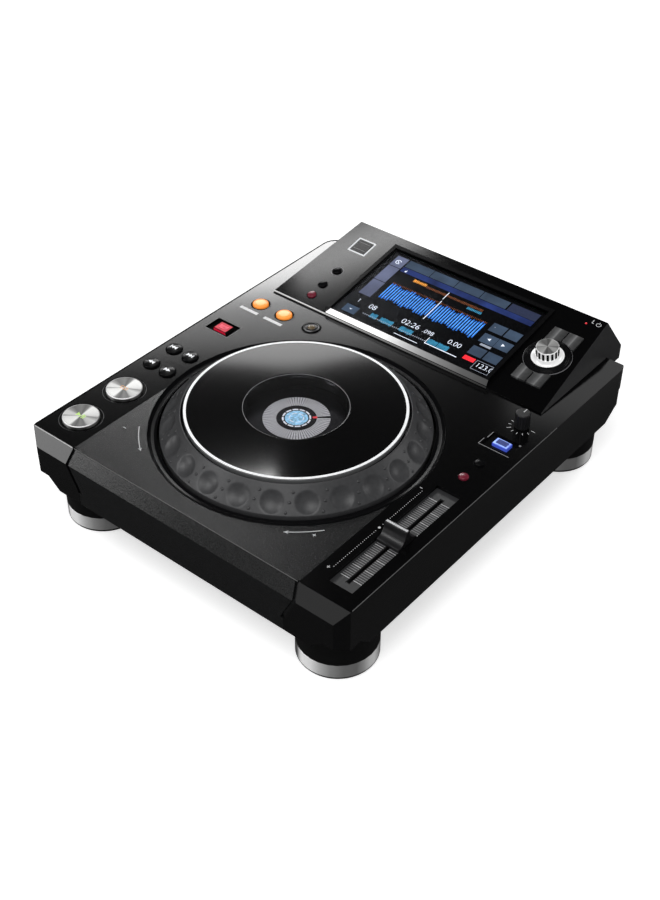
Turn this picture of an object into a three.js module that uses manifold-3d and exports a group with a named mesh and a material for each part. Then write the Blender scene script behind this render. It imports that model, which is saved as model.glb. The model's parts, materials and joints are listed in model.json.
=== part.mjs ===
// Media player with a touch screen and a jog dial, as an assembly of its separate pieces.
// Millimetres, +Z up, +Y to the rear, origin on the ground under the middle of the case.

import * as THREE from 'three';
import { mergeVertices } from 'three/addons/utils/BufferGeometryUtils.js';
import { ConvexGeometry } from 'three/addons/geometries/ConvexGeometry.js';
import Module from 'manifold-3d';

const wasm = await Module();
wasm.setup();

// Overall size and common clearances
const width = 306;
const depth = 385.5;
const height = 107;
const screenRise = 23.5;
const bodyThickness = 45.5;
const skin = 2.5;
const floorThickness = 1.6;
const gap = 0.3;
const overrun = 1;
const cutterReach = 20;
const weldDistance = 0.0001;
const lip = 1;
const sides = [-1, 1];

// Number of flats on round pieces
const jogSides = 48;
const roundSides = 28;
const smallSides = 14;
const pegSides = 8;

// Case: side view, with its rear part measured back from the rear of the screen unit
const bandRun = 7.1;
const bandDrop = 12.2;
const deckShort = 27.5;
const tailReach = 6.6;
const tailLipDrop = 19;
const tailUnderDrop = 21;
const overhang = 11.2;
const interiorShort = 35.5;

// Case: corners in plan, and the bevelled lower corners over the feet
const cornerRun = 9;
const rearCornerRadius = 14;
const rearCornerSteps = 4;
const cutRise = 9.5;
const cutFar = 29;
const cutNear = 18;
const rearCutFar = 16.5;
const rearCutNear = 3.5;

// Palm rest and the dark groove at each side of its front
const palmTuck = 3.1;
const palmFlare = 2.8;
const palmTaper = 8.2;
const palmShort = 22.7;
const grooveFootRise = 11;
const grooveWidth = 3;
const grooveDepth = 1.8;

// Feet
const footInset = 35.4;
const footFront = 38;
const footRearInset = 60.5;
const footRadius = 30.2;
const footWall = 3;
const footHeight = 14;
const footCrown = 2;
const padThickness = 1.2;
const padInset = 0.8;
const padPlug = 5;
const screwRadius = 4;

// Room round the jog dial's hole, and the dial's own section
const columnWidth = 40.7;
const jogFrontMargin = 20.4;
const jogRearMargin = 16;
const dialRimRise = 0.4;
const dialRun = 16;
const dialLip = 0.8;
const dialWall = 6.1;
const dialSkirt = 6.9;
const dialThroat = 5.3;
const webThickness = 3;
const postRadius = 14;
const hubWall = 3.7;
const hubDrop = 2.7;
const dimplePitch = 25.24;
const dimpleRadius = 8.65;
const dimpleDepth = 2.2;
const dimplePlace = 6.6;
const dimpleSides = 8;
const dimpleSteps = 2;

// Jog platter, window and fixed display
const platterRise = 2.2;
const platterInset = 2.7;
const platterThickness = 2.3;
const platterEdge = 4.3;
const platterEdgeWall = 2;
const ringWidth = 2.3;
const ringRise = 0.3;
const windowRadius = 40;
const windowThickness = 1.7;
const tubeWall = 2;
const pressRoom = 0.8;
const displayRadius = 37;
const displayDepth = 11.6;
const displayThickness = 6.5;
const displayNeck = 13;

// Jog bezel and the pan under the dial
const bezelGap = 2.1;
const bezelWidth = 6.9;
const bezelSlope = 2.6;
const bezelDip = 1.8;
const bezelInnerDip = 1.1;
const bezelThickness = 3.5;
const panWall = 2.5;
const panDrop = 12.5;
const panFlange = 2;
const panFlangeThickness = 2.5;
const shoulderWidth = 4;

// Screen unit: its outer form
const plateEdge = 1;
const plateRun = 108.9;
const rearSlopeRun = 15.6;
const housingInset = 17.8;
const sideLean = 0.4;
const housingCornerRun = 9.2;
const housingCornerBack = 4.5;
const rearBreakRise = 0.8;
const rearBreakRun = 0.4;
const housingDrop = 12.5;
const housingInsetShare = 1.12;
const bridgeInset = 3.2;
const deckOpeningInset = 13.2;
const deckOpeningFront = 3.5;
const deckOpeningShort = 4.5;

// Touch screen, in the control plate's own directions
const screenLeftRoom = 24.2;
const screenRightRoom = 23.5;
const screenStart = 1.5;
const screenShort = 9.4;
const screenFrontRise = 4.5;
const screenRearRise = 1.2;
const screenBorder = 3.5;
const screenEndBorder = 4;
const screenLedge = 0.8;
const screenPlay = 0.5;
const glassSink = 0.6;
const glassThickness = 1;
const panelThickness = 6;

// Board behind the control plate
const panelBoardInset = 17.2;
const panelBoardStart = 8;
const panelBoardShort = 4.9;
const panelBoardDepth = 6.8;
const boardThickness = 1.6;
const boardNotchRoomX = 11.7;
const boardNotchRoomY = 12;
const pegRadius = 2.5;
const pegInset = 3.5;

// Lit frame, door and socket at the plate's rear left
const usbInset = 31;
const usbRearInset = 24.9;
const usbFrameHalf = 9.2;
const usbFrameWall = 1.3;
const usbFrameRise = 0.3;
const usbFrameDepth = 6.7;
const usbLedge = 1.1;
const usbDoorThickness = 1.5;
const usbFlange = 1.3;
const usbShellLong = 14.6;
const usbShellShort = 7.3;
const usbShellDepth = 11;
const usbMouthLong = 12.6;
const usbMouthShort = 5.3;
const usbMouthDepth = 9.8;

// Small round buttons, on the plate and on the deck
const dotRadius = 3.8;
const dotRise = 2;
const dotCrown = 1.1;
const plateDotShift = 1.4;
const usbStopShare = 0.43343;
const timeShare = 0.25161;
const quantizeShare = 0.11203;
const flangeThickness = 1.2;
const stemRadius = 1.8;
const smallTravel = 0.8;
const crownShare = 0.7;

// Selector knob and the four keys round it
const selectorInset = 28.7;
const selectorShare = 0.48669;
const collarRadius = 19.3;
const collarThickness = 0.8;
const shaftRadius = 3;
const shaftTop = 9;
const skirtRadius = 13.2;
const skirtBottom = 2.2;
const skirtTop = 4.4;
const gripRadius = 9.1;
const gripFlute = 0.9;
const gripFlutes = 20;
const gripTop = 12.5;
const keyNear = 16;
const keyFar = 32;
const keyHalf = 13.4;
const keyDivide = 0.5;
const keyRise = 1.5;
const keyStem = 2;

// Play and cue buttons
const leftInset = 21.2;
const playShare = 0.13716;
const cueShare = 0.31034;
const bigRadius = 14.2;
const bigRise = 2.1;
const bigEdge = 0.6;
const bigRingRadius = 17.3;
const bigRingDip = 0.5;
const bigTravel = 1.5;

// Search and track buttons
const searchInset = 21.4;
const searchPitch = 17.7;
const searchShare = 0.45709;
const trackShare = 0.55556;
const searchRadius = 6.9;
const searchRise = 2.2;
const searchCrown = 1.2;
const midTravel = 1;

// Direction lever and its slot
const slotInset = 21.35;
const slotShare = 0.74023;
const slotHalfX = 12.15;
const slotHalfY = 8.45;
const leverShift = 1.8;
const leverForward = 1;
const leverHalfX = 7.2;
const leverHalfY = 5.2;
const leverTopHalfX = 6.4;
const leverRise = 1.6;
const leverSkirt = 0.4;
const leverTravel = 4.5;
const leverOvertake = 0.9;

// Loop buttons
const loopShare = 0.91571;
const loopInset = 22.4;
const loopOutPitch = 26.2;
const loopExitPitch = 29.7;
const loopRadius = 6.8;
const loopWell = 8.4;
const loopRise = 2.2;
const loopCrown = 1.3;

// Tempo fader
const faderInset = 20.4;
const faderShare = 0.31648;
const faderHalfX = 10.4;
const faderHalfShare = 0.23602;
const faderPlateThickness = 1.5;
const faderPlateLip = 3;
const faderTravelShort = 11.6;
const slotHalf = 1.2;
const channelHalf = 6.4;
const channelWall = 1;
const channelDepth = 17.2;
const channelEnd = 3;
const capHalfX = 9.5;
const capHalfY = 10.2;
const capTopHalf = 1.6;
const capHeight = 12.6;
const capFoot = 2.6;
const capHover = 0.7;
const capSteps = 5;
const faderStemHalfX = 0.85;
const faderStemHalfY = 3.4;
const carriageHalfX = 4.8;
const carriageHalfY = 5;
const carriageHeight = 9;
const carriageDrop = 2;

// Tempo and jog mode buttons, speed knob
const rightInset = 21.4;
const masterTempoShare = 0.62605;
const tempoRangeShare = 0.70192;
const modeInset = 21.8;
const modeShare = 0.81379;
const modeHalfX = 12;
const modeHalfY = 8;
const modeDip = 1.5;
const modeButtonShift = 0.8;
const modeButtonHalfX = 6.5;
const modeButtonHalfY = 4.1;
const modeButtonRise = 0.9;
const speedShare = 0.91762;
const speedRadius = 6;
const speedTopRadius = 5.5;
const speedHeight = 13.4;
const speedShaft = 3;

// Board under the deck's buttons
const boardDrop = 9.4;
const boardEdgeRoom = 5;
const boardJogRoom = 1.7;
const boardFront = 18;
const boardRearRoom = 3;
const boardCrossLength = 34;
const boardFaderRoom = 7.8;
const boardPostRadius = 2.5;
const leftPostShift = 4.5;
const rightPostInset = 9;
const rearPostX = 40;
const rearPostRoom = 11;

// Main board and power supply on the case floor
const standoffHeight = 3.6;
const standoffRadius = 3;
const standoffEdge = 4;
const mainBoardJackRoom = 10;
const boardSpacing = 8;
const lowBoardLength = 84;
const lowBoardRearRoom = 4;
const supplyInsetX = 25;
const supplyWidth = 66;
const supplyHeight = 20;
const supplyLength = 62;
const supplyInset = 5;
const chipHalf = 14;
const chipHeight = 3;
const chipInsetX = 74;
const chipInsetY = 33;

// Rear panel and what it holds
const panelInset = 21;
const panelSheet = 1.5;
const inletInset = 65;
const inletRise = 20.5;
const inletHalfX = 13.6;
const inletHalfZ = 10;
const inletMouthX = 12;
const inletMouthZ = 8;
const inletDepth = 22;
const inletMouthDepth = 16;
const jackFootRoom = 43.6;
const jackPitch = 17;
const jackCount = 3;
const jackBlockEdge = 8;
const jackBlockHeight = 17;
const jackBlockDepth = 12;
const jackRise = 18;
const jackRadius = 4.15;
const jackBore = 1.6;
const jackLength = 9;
const lanJackRoom = 22;
const lanHalf = 8.2;
const lanHeight = 13.8;
const lanDepth = 19;
const lanMouthHalf = 6;
const lanMouthHeight = 8.6;
const lanMouthSill = 2;
const lanMouthDepth = 12;
const usbBLanRoom = 32;
const usbBHalf = 6.1;
const usbBHeight = 11;
const usbBDepth = 16;
const usbBMouthHalf = 4.3;
const usbBMouthHeight = 7.9;
const usbBMouthSill = 1.5;
const usbBMouthDepth = 10;
const powerInset = 35;
const powerHalfX = 5.6;
const powerHalfZ = 4.6;
const powerReach = 3;
const powerFlange = 2;
const powerLength = 12;
const lockInset = 34;
const lockHalfX = 3.5;
const lockHalfZ = 1.5;

// Places worked out from the sizes above
const front = -depth / 2;
const caseHalf = width / 2;
const deckHeight = height - screenRise;
const bodyBottom = deckHeight - bodyThickness;
const bandHeight = deckHeight - bandDrop;
const tailLipHeight = deckHeight - tailLipDrop;
const tailUnderside = deckHeight - tailUnderDrop;
const cutHeight = bodyBottom + cutRise;
const grooveFoot = bodyBottom + grooveFootRise;
const deckUnderside = deckHeight - skin;
const deckLength = depth - deckShort;
const interiorLength = depth - interiorShort;
const tailEnd = deckLength + tailReach;
const tailWall = tailEnd - overhang;
const flangeTop = deckUnderside - gap;
const footX = caseHalf - footInset;
const footRear = depth - footRearInset;
const controlBoardTop = deckUnderside - boardDrop;
const floorTop = bodyBottom + floorThickness;
const lowBoardBottom = floorTop + standoffHeight + gap;
const lowBoardTop = lowBoardBottom + boardThickness;
const socketBottom = lowBoardTop + gap;
const panelOuterFace = fromFront(interiorLength + panelSheet);
const bossTop = cutHeight - gap;

// The dial fills the room between the columns of controls, the front edge and the screen unit
const screenFront = depth - plateRun - rearSlopeRun;
const jogHole = Math.min(caseHalf - columnWidth, (screenFront - jogFrontMargin - jogRearMargin) / 2);
const jogFromFront = (screenFront + jogFrontMargin - jogRearMargin) / 2;
const jogY = fromFront(jogFromFront);
const bezelOuter = jogHole - gap;
const bezelInner = bezelOuter - bezelWidth;
const dialRadius = bezelInner - bezelGap;
const dimpleCount = Math.round((2 * Math.PI * (dialRadius - dimplePlace)) / dimplePitch);
const palmHalfTop = jogHole - palmTuck;
const palmHalfBand = palmHalfTop + palmFlare;
const palmHalfLow = palmHalfTop - palmTaper;
const palmLength = jogFromFront - palmShort;
const dialRimTop = deckHeight + dialRimRise;
const dialTop = dialRimTop + dialRun;
const dialInner = dialRadius - dialRun;
const dialBottom = dialRimTop - dialSkirt;
const webTop = dialBottom + webThickness;
const platterRadius = dialInner - platterInset;
const platterTop = dialTop + platterRise;
const displayTop = platterTop - displayDepth;
const displayStep = lip + pressRoom;
const displayBottom = displayTop - displayThickness;
const housingFoot = deckHeight + gap;
const plateHeight = housingFoot + plateEdge;
const plateTilt = Math.atan2(height - plateHeight, plateRun);

// Screen unit
const housingHalf = caseHalf - housingInset;
const housingRearHalf = housingHalf - housingCornerRun;
const housingUnderside = deckHeight - housingDrop;
const bridgeHalf = housingHalf - bridgeInset;
const deckOpeningHalf = housingHalf - deckOpeningInset;
const deckOpeningRear = deckLength - deckOpeningShort;
const usbX = usbInset - housingHalf;
const usbPlace = plateRun - usbRearInset;
const plateDotX = usbX + plateDotShift;
const usbStopPlace = plateRun * usbStopShare;
const timePlace = plateRun * timeShare;
const quantizePlace = plateRun * quantizeShare;
const selectorX = housingHalf - selectorInset;
const selectorPlace = plateRun * selectorShare;
const screenLeft = usbX + screenLeftRoom;
const screenRight = selectorX - screenRightRoom;
const screenLength = plateRun - screenShort;
const screenTilt = Math.atan2(screenFrontRise - screenRearRise, screenLength);
const panelBoardHalf = housingHalf - panelBoardInset;
const panelBoardEnd = plateRun - panelBoardShort;
const boardNotchX = usbX + boardNotchRoomX;
const boardNotchStart = usbPlace - boardNotchRoomY;
const plateMatrix = new THREE.Matrix4()
  .makeRotationX(plateTilt)
  .setPosition(0, fromFront(screenFront), plateHeight);

// Controls on the deck
const leftColumn = leftInset - caseHalf;
const playFromFront = screenFront * playShare;
const cueFromFront = screenFront * cueShare;
const searchX = searchInset - caseHalf;
const searchFromFront = screenFront * searchShare;
const trackFromFront = screenFront * trackShare;
const slotX = slotInset - caseHalf;
const slotFromFront = screenFront * slotShare;
const leverX = slotX + leverShift;
const loopFromFront = screenFront * loopShare;
const loopInX = loopInset - caseHalf;
const loopOutX = loopInX + loopOutPitch;
const loopExitX = loopOutX + loopExitPitch;
const faderX = caseHalf - faderInset;
const faderFromFront = screenFront * faderShare;
const faderHalfY = screenFront * faderHalfShare;
const faderTravel = faderHalfY - faderTravelShort;
const rightColumn = caseHalf - rightInset;
const masterTempoFromFront = screenFront * masterTempoShare;
const tempoRangeFromFront = screenFront * tempoRangeShare;
const modeX = caseHalf - modeInset;
const modeFromFront = screenFront * modeShare;
const modeButtonX = modeX + modeButtonShift;
const speedFromFront = screenFront * speedShare;

// Board under the deck and the posts that hold it
const boardOuterHalf = caseHalf - boardEdgeRoom;
const boardInnerX = jogHole + boardJogRoom;
const boardRear = screenFront - boardRearRoom;
const boardCross = boardRear - boardCrossLength;
const boardRightFront = faderFromFront + faderHalfY + boardFaderRoom;
const leftPostPlaces = [
  (cueFromFront + searchFromFront) / 2 + leftPostShift,
  (trackFromFront + slotFromFront) / 2,
];
const rightPostX = caseHalf - rightPostInset;
const rightPostPlaces = [
  (masterTempoFromFront + tempoRangeFromFront) / 2,
  (modeFromFront + speedFromFront) / 2,
];
const rearPostFromFront = screenFront - rearPostRoom;

// Rear panel, its sockets and the boards on the case floor
const panelHalf = caseHalf - panelInset;
const inletX = caseHalf - inletInset;
const inletZ = bodyBottom + inletRise;
const powerX = caseHalf - powerInset;
const lockX = lockInset - caseHalf;
const jackZ = bodyBottom + jackRise;
const jackFarX = jackFootRoom - footX;
const jackXs = Array.from({ length: jackCount }, (_, i) => jackFarX + i * jackPitch);
const lanX = jackXs.at(-1) + lanJackRoom;
const usbBX = lanX + usbBLanRoom;
const supplyRight = caseHalf - supplyInsetX;
const supplyLeft = supplyRight - supplyWidth;
const lowBoardRear = interiorLength - lowBoardRearRoom;
const lowBoardFront = lowBoardRear - lowBoardLength;
const supplyRear = lowBoardFront + supplyLength;
const mainBoardLeft = jackFarX - mainBoardJackRoom;
const mainBoardRight = supplyLeft - boardSpacing;
const chipX = mainBoardRight - chipInsetX;
const chipFromFront = lowBoardFront + chipInsetY;

function fromFront(distance) {
  return front + distance;
}

// Shapes

function volumeOf(geometry) {
  const position = geometry.getAttribute('position');
  const corners = [new THREE.Vector3(), new THREE.Vector3(), new THREE.Vector3()];
  let total = 0;
  for (let i = 0; i < geometry.index.count; i += 3) {
    corners.forEach((corner, k) => corner.fromBufferAttribute(position, geometry.index.getX(i + k)));
    total += corners[0].dot(corners[1].cross(corners[2]));
  }
  return total;
}

// A closed geometry with shared corners merged, no flat triangles and its faces pointing out
function tidy(geometry) {
  const bare = new THREE.BufferGeometry();
  bare.setAttribute('position', geometry.getAttribute('position').clone());
  if (geometry.index) {
    bare.setIndex(geometry.index.clone());
  }
  const merged = mergeVertices(bare, weldDistance);
  const index = merged.index.array;
  const kept = [];
  for (let i = 0; i < index.length; i += 3) {
    const [a, b, c] = index.slice(i, i + 3);
    if (a !== b && b !== c && c !== a) {
      kept.push(a, b, c);
    }
  }
  merged.setIndex(kept);
  if (volumeOf(merged) < 0) {
    merged.setIndex(kept.reverse());
  }
  return merged;
}

function toSolid(geometry) {
  const { position } = geometry.attributes;
  return new wasm.Manifold(new wasm.Mesh({
    numProp: 3,
    vertProperties: new Float32Array(position.array),
    triVerts: new Uint32Array(geometry.index.array),
  }));
}

function toGeometry(solid) {
  const mesh = solid.getMesh();
  const geometry = new THREE.BufferGeometry();
  geometry.setAttribute('position', new THREE.BufferAttribute(mesh.vertProperties, 3));
  geometry.setIndex(new THREE.BufferAttribute(mesh.triVerts, 1));
  return geometry;
}

function join(...geometries) {
  return toGeometry(geometries.map(toSolid).reduce((whole, piece) => whole.add(piece)));
}

function meet(...geometries) {
  return toGeometry(geometries.map(toSolid).reduce((whole, piece) => whole.intersect(piece)));
}

function cut(body, ...tools) {
  return toGeometry(tools.map(toSolid).reduce((whole, tool) => whole.subtract(tool), toSolid(body)));
}

function block(x0, x1, y0, y1, z0, z1) {
  const box = new THREE.BoxGeometry(x1 - x0, y1 - y0, z1 - z0);
  box.translate((x0 + x1) / 2, (y0 + y1) / 2, (z0 + z1) / 2);
  return tidy(box);
}

function centredBlock(x, halfX, y, halfY, z0, z1) {
  return block(x - halfX, x + halfX, y - halfY, y + halfY, z0, z1);
}

function outline(points) {
  return new THREE.Shape(points.map(([x, y]) => new THREE.Vector2(x, y)));
}

function extruded(points, length) {
  return new THREE.ExtrudeGeometry(outline(points), { depth: length, bevelEnabled: false });
}

// Prisms of an outline: drawn in x and y, in y and z, and in x and z
function prismZ(points, z0, z1) {
  return tidy(extruded(points, z1 - z0).translate(0, 0, z0));
}

function prismX(points, x0, x1) {
  const turn = new THREE.Matrix4().makeBasis(
    new THREE.Vector3(0, 1, 0),
    new THREE.Vector3(0, 0, 1),
    new THREE.Vector3(1, 0, 0),
  );
  return tidy(extruded(points, x1 - x0).applyMatrix4(turn).translate(x0, 0, 0));
}

function prismY(points, y0, y1) {
  const turn = new THREE.Matrix4().makeBasis(
    new THREE.Vector3(1, 0, 0),
    new THREE.Vector3(0, 0, 1),
    new THREE.Vector3(0, -1, 0),
  );
  return tidy(extruded(points, y1 - y0).applyMatrix4(turn).translate(0, y1, 0));
}

// A solid turned round the Z axis from its section in radius and height
function turned(section, count) {
  const [first] = section;
  const onAxis = first[0] === 0;
  const points = onAxis ? section : [...section, first];
  const lathe = new THREE.LatheGeometry(points.map(([r, z]) => new THREE.Vector2(r, z)), count);
  return tidy(lathe.rotateX(Math.PI / 2));
}

function disc(radius, z0, z1, count) {
  return turned([[0, z0], [radius, z0], [radius, z1], [0, z1]], count);
}

function cylinderAt(x, y, radius, z0, z1, count) {
  return disc(radius, z0, z1, count).translate(x, y, 0);
}

// An outline moved inwards by a distance, or outwards where the distance is negative
function inset(points, distance) {
  const corners = points.map(([x, y]) => new THREE.Vector2(x, y));
  const turn = Math.sign(THREE.ShapeUtils.area(corners));
  const edges = corners.map((corner, i) => {
    const along = corners[(i + 1) % corners.length].clone().sub(corner).normalize();
    const inward = new THREE.Vector2(-along.y, along.x).multiplyScalar(turn);
    return { along, start: corner.clone().addScaledVector(inward, distance) };
  });
  return edges.map((edge, i) => {
    const before = edges[(i + edges.length - 1) % edges.length];
    const between = edge.start.clone().sub(before.start);
    const reach = between.cross(edge.along) / before.along.cross(edge.along);
    const corner = before.start.clone().addScaledVector(before.along, reach);
    return [corner.x, corner.y];
  });
}

function mirrored(points) {
  return points.map(([x, y]) => [-x, y]);
}

function hullOf(points) {
  return tidy(new ConvexGeometry(points.map(([x, y, z]) => new THREE.Vector3(x, y, z))));
}

function onPlate(geometry) {
  return geometry.clone().applyMatrix4(plateMatrix);
}

// Case

function casePlan() {
  const centreX = caseHalf - rearCornerRadius;
  const centreY = fromFront(tailEnd) - rearCornerRadius;
  const corner = [];
  for (let i = 0; i <= rearCornerSteps; i += 1) {
    const angle = (i / rearCornerSteps) * (Math.PI / 2);
    corner.push([
      centreX + rearCornerRadius * Math.cos(angle),
      centreY + rearCornerRadius * Math.sin(angle),
    ]);
  }
  return [
    [-caseHalf + cornerRun, front],
    [caseHalf - cornerRun, front],
    [caseHalf, front + bandRun],
    ...corner,
    ...mirrored(corner).reverse(),
    [-caseHalf, front + bandRun],
  ];
}

function caseSideView() {
  return [
    [front, bodyBottom],
    [fromFront(tailWall), bodyBottom],
    [fromFront(tailWall), tailUnderside],
    [fromFront(tailEnd), tailLipHeight],
    [fromFront(deckLength), deckHeight],
    [front + bandRun, deckHeight],
    [front, bandHeight],
  ];
}

// The bevel over a foot, as an outline that runs outwards from an edge of the case
function bevelOutline(edge, far, near, direction) {
  const slope = (far - near) / (cutHeight - bodyBottom);
  return [
    [edge - direction * (far + slope * cutterReach), bodyBottom - cutterReach],
    [edge + direction * cutterReach, bodyBottom - cutterReach],
    [edge + direction * cutterReach, cutHeight],
    [edge - direction * near, cutHeight],
  ];
}

function bevelCutters(grow) {
  const frontView = inset(bevelOutline(caseHalf, cutFar, cutNear, 1), -grow);
  const ends = [
    inset(bevelOutline(front, cutFar, cutNear, -1), -grow),
    inset(bevelOutline(fromFront(tailWall), rearCutFar, rearCutNear, 1), -grow),
  ];
  const across = caseHalf + cutterReach + grow;
  return [frontView, mirrored(frontView)].flatMap((view) => ends.map((end) => meet(
    prismY(view, front - cutterReach - grow, fromFront(tailEnd) + cutterReach + grow),
    prismX(end, -across, across),
  )));
}

function caseSolid(inwards) {
  const plan = inset(casePlan(), inwards);
  const whole = meet(
    prismZ(plan, bodyBottom - overrun, deckHeight + overrun),
    prismX(inset(caseSideView(), inwards), -caseHalf - overrun, caseHalf + overrun),
  );
  return cut(whole, ...bevelCutters(inwards));
}

function caseInterior() {
  const low = bodyBottom - skin - overrun;
  const sideView = inset([
    [front, low],
    [fromFront(interiorLength + skin), low],
    [fromFront(interiorLength + skin), deckHeight],
    [front + bandRun, deckHeight],
    [front, bandHeight],
  ], skin);
  const space = meet(
    prismZ(inset(casePlan(), skin), low, deckHeight),
    prismX(sideView, -caseHalf, caseHalf),
  );
  return cut(space, ...bevelCutters(skin));
}

function bossCutters(radius, z0, z1) {
  return sides.flatMap((side) => [footFront, footRear].map((place) => cylinderAt(
    side * footX,
    fromFront(place),
    radius,
    z0,
    z1,
    roundSides,
  )));
}

function palmFrontView() {
  return [
    [palmHalfLow, bodyBottom - cutterReach],
    [palmHalfLow, grooveFoot],
    [palmHalfBand, bandHeight],
    [palmHalfTop, deckHeight],
    [palmHalfTop, deckHeight + cutterReach],
    [-palmHalfTop, deckHeight + cutterReach],
    [-palmHalfTop, deckHeight],
    [-palmHalfBand, bandHeight],
    [-palmHalfLow, grooveFoot],
    [-palmHalfLow, bodyBottom - cutterReach],
  ];
}

function palmPrism(inwards) {
  const view = inset(palmFrontView(), inwards);
  return prismY(view, front - overrun, fromFront(palmLength) - inwards);
}

function jogHoleCutter(radius) {
  return cylinderAt(0, jogY, radius, deckUnderside - cutterReach, deckHeight + overrun, jogSides);
}

function caseShell() {
  return cut(
    caseSolid(0),
    caseInterior(),
    ...bossCutters(footRadius + gap, bodyBottom - overrun, cutHeight),
  );
}

function throughDeck(x, place, radius, count) {
  const y = fromFront(place);
  return cylinderAt(x, y, radius, deckUnderside - overrun, deckHeight + overrun, count);
}

function deckCutters() {
  const low = deckUnderside - overrun;
  const high = deckHeight + overrun;
  const bigButtons = [playFromFront, cueFromFront].flatMap((place) => [
    throughDeck(leftColumn, place, bigRadius + gap, roundSides),
    cylinderAt(leftColumn, fromFront(place), bigRingRadius, deckHeight - bigRingDip, high, roundSides),
  ]);
  const searchButtons = [searchFromFront, trackFromFront].flatMap((place) => sides.map(
    (side) => throughDeck(searchX + side * searchPitch / 2, place, searchRadius + gap, smallSides),
  ));
  const loopButtons = [loopInX, loopOutX, loopExitX].map(
    (x) => throughDeck(x, loopFromFront, loopWell, smallSides),
  );
  const dots = [masterTempoFromFront, tempoRangeFromFront].map(
    (place) => throughDeck(rightColumn, place, dotRadius + gap, smallSides),
  );
  const modeY = fromFront(modeFromFront);
  return [
    ...bigButtons,
    ...searchButtons,
    ...loopButtons,
    ...dots,
    throughDeck(rightColumn, speedFromFront, speedShaft + gap, smallSides),
    centredBlock(slotX, slotHalfX, fromFront(slotFromFront), slotHalfY, low, high),
    centredBlock(faderX, faderHalfX, fromFront(faderFromFront), faderHalfY, low, high),
    centredBlock(modeX, modeHalfX, modeY, modeHalfY, deckHeight - modeDip, high),
    centredBlock(modeButtonX, modeButtonHalfX + gap, modeY, modeButtonHalfY + gap, low, high),
    block(
      -deckOpeningHalf,
      deckOpeningHalf,
      fromFront(screenFront + deckOpeningFront),
      fromFront(deckOpeningRear),
      low,
      high,
    ),
  ];
}

function boardPostAt(x, place) {
  const y = fromFront(place);
  return cylinderAt(x, y, boardPostRadius, controlBoardTop + gap, deckUnderside + overrun, pegSides);
}

function topCase() {
  const rear = fromFront(tailEnd) + overrun;
  const low = bodyBottom - overrun;
  const housingSlot = housingHalf + gap;
  const cleared = cut(
    caseShell(),
    palmPrism(0),
    jogHoleCutter(jogHole),
    ...deckCutters(),
    block(-housingSlot, housingSlot, fromFront(deckLength), rear, low, deckHeight + overrun),
    block(-housingSlot, housingSlot, fromFront(interiorLength + skin), rear, low, deckUnderside),
    block(
      -panelHalf - gap,
      panelHalf + gap,
      fromFront(interiorLength) - overrun,
      rear,
      low,
      deckUnderside,
    ),
  );
  const posts = [
    ...leftPostPlaces.map((place) => boardPostAt(searchX, place)),
    ...rightPostPlaces.map((place) => boardPostAt(rightPostX, place)),
    ...sides.map((side) => boardPostAt(side * rearPostX, rearPostFromFront)),
  ];
  return join(cleared, ...posts);
}

function palmRest() {
  const grooveBand = cut(
    prismY(palmFrontView(), front - overrun, front + bandRun + overrun),
    prismY(inset(palmFrontView(), grooveWidth), front - cutterReach, front + cutterReach),
  );
  const groove = cut(
    meet(
      grooveBand,
      block(-caseHalf, caseHalf, front - overrun, front + cutterReach, grooveFoot, deckHeight + overrun),
    ),
    caseSolid(grooveDepth),
  );
  return cut(meet(caseShell(), palmPrism(gap)), jogHoleCutter(jogHole), groove);
}

function footBoss() {
  const inner = footRadius - footWall;
  const low = footHeight + gap;
  return turned([
    [screwRadius, low],
    [footRadius, low],
    [footRadius, bossTop],
    [inner, bossTop],
    [inner, low + footWall],
    [screwRadius, low + footWall],
  ], roundSides);
}

function bottomCase() {
  const inwards = skin + gap;
  const plan = inset(casePlan(), inwards);
  const reach = caseHalf + cutterReach;
  const floorRear = fromFront(interiorLength) - skin - gap;
  const mainFloor = meet(
    prismZ(plan, bodyBottom, floorTop),
    block(-reach, reach, front, floorRear, bodyBottom - overrun, floorTop + overrun),
  );
  const rearFloor = block(
    -panelHalf,
    panelHalf,
    fromFront(lowBoardFront),
    panelOuterFace,
    bodyBottom,
    floorTop,
  );
  const floor = cut(
    join(mainFloor, rearFloor),
    ...bevelCutters(inwards),
    ...bossCutters(footRadius - footWall / 2, bodyBottom - overrun, floorTop + overrun),
  );
  const bosses = sides.flatMap((side) => [footFront, footRear].map(
    (place) => footBoss().translate(side * footX, fromFront(place), 0),
  ));
  const bossSpace = bossCutters(footRadius - footWall, bodyBottom - overrun, floorTop + overrun);
  const standoffXs = [
    mainBoardLeft + standoffEdge,
    mainBoardRight - standoffEdge,
    supplyLeft + standoffEdge,
    supplyRight - standoffEdge,
  ];
  const standoffs = standoffXs.map((x) => cylinderAt(
    x,
    fromFront(lowBoardFront + standoffEdge),
    standoffRadius,
    floorTop - overrun,
    lowBoardBottom - gap,
    pegSides,
  ));
  return join(cut(floor, ...bossSpace), ...bosses, ...standoffs);
}

// Feet: a cup with a rubber pad under it, both drawn round their own axis

function footCup() {
  const inner = footRadius - footWall;
  const low = padThickness + gap;
  return turned([
    [screwRadius, footHeight - footCrown],
    [inner, footHeight - footCrown],
    [inner, low],
    [footRadius, low],
    [footRadius, footHeight],
    [screwRadius, footHeight],
  ], roundSides);
}

function footPad() {
  const plugRadius = footRadius - footWall - gap;
  const padRadius = footRadius - padInset;
  return turned([
    [0, 0],
    [padRadius, 0],
    [padRadius, padThickness],
    [plugRadius, padThickness],
    [plugRadius, padThickness + padPlug],
    [0, padThickness + padPlug],
  ], roundSides);
}

// Jog assembly, drawn round the dial's axis

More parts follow.
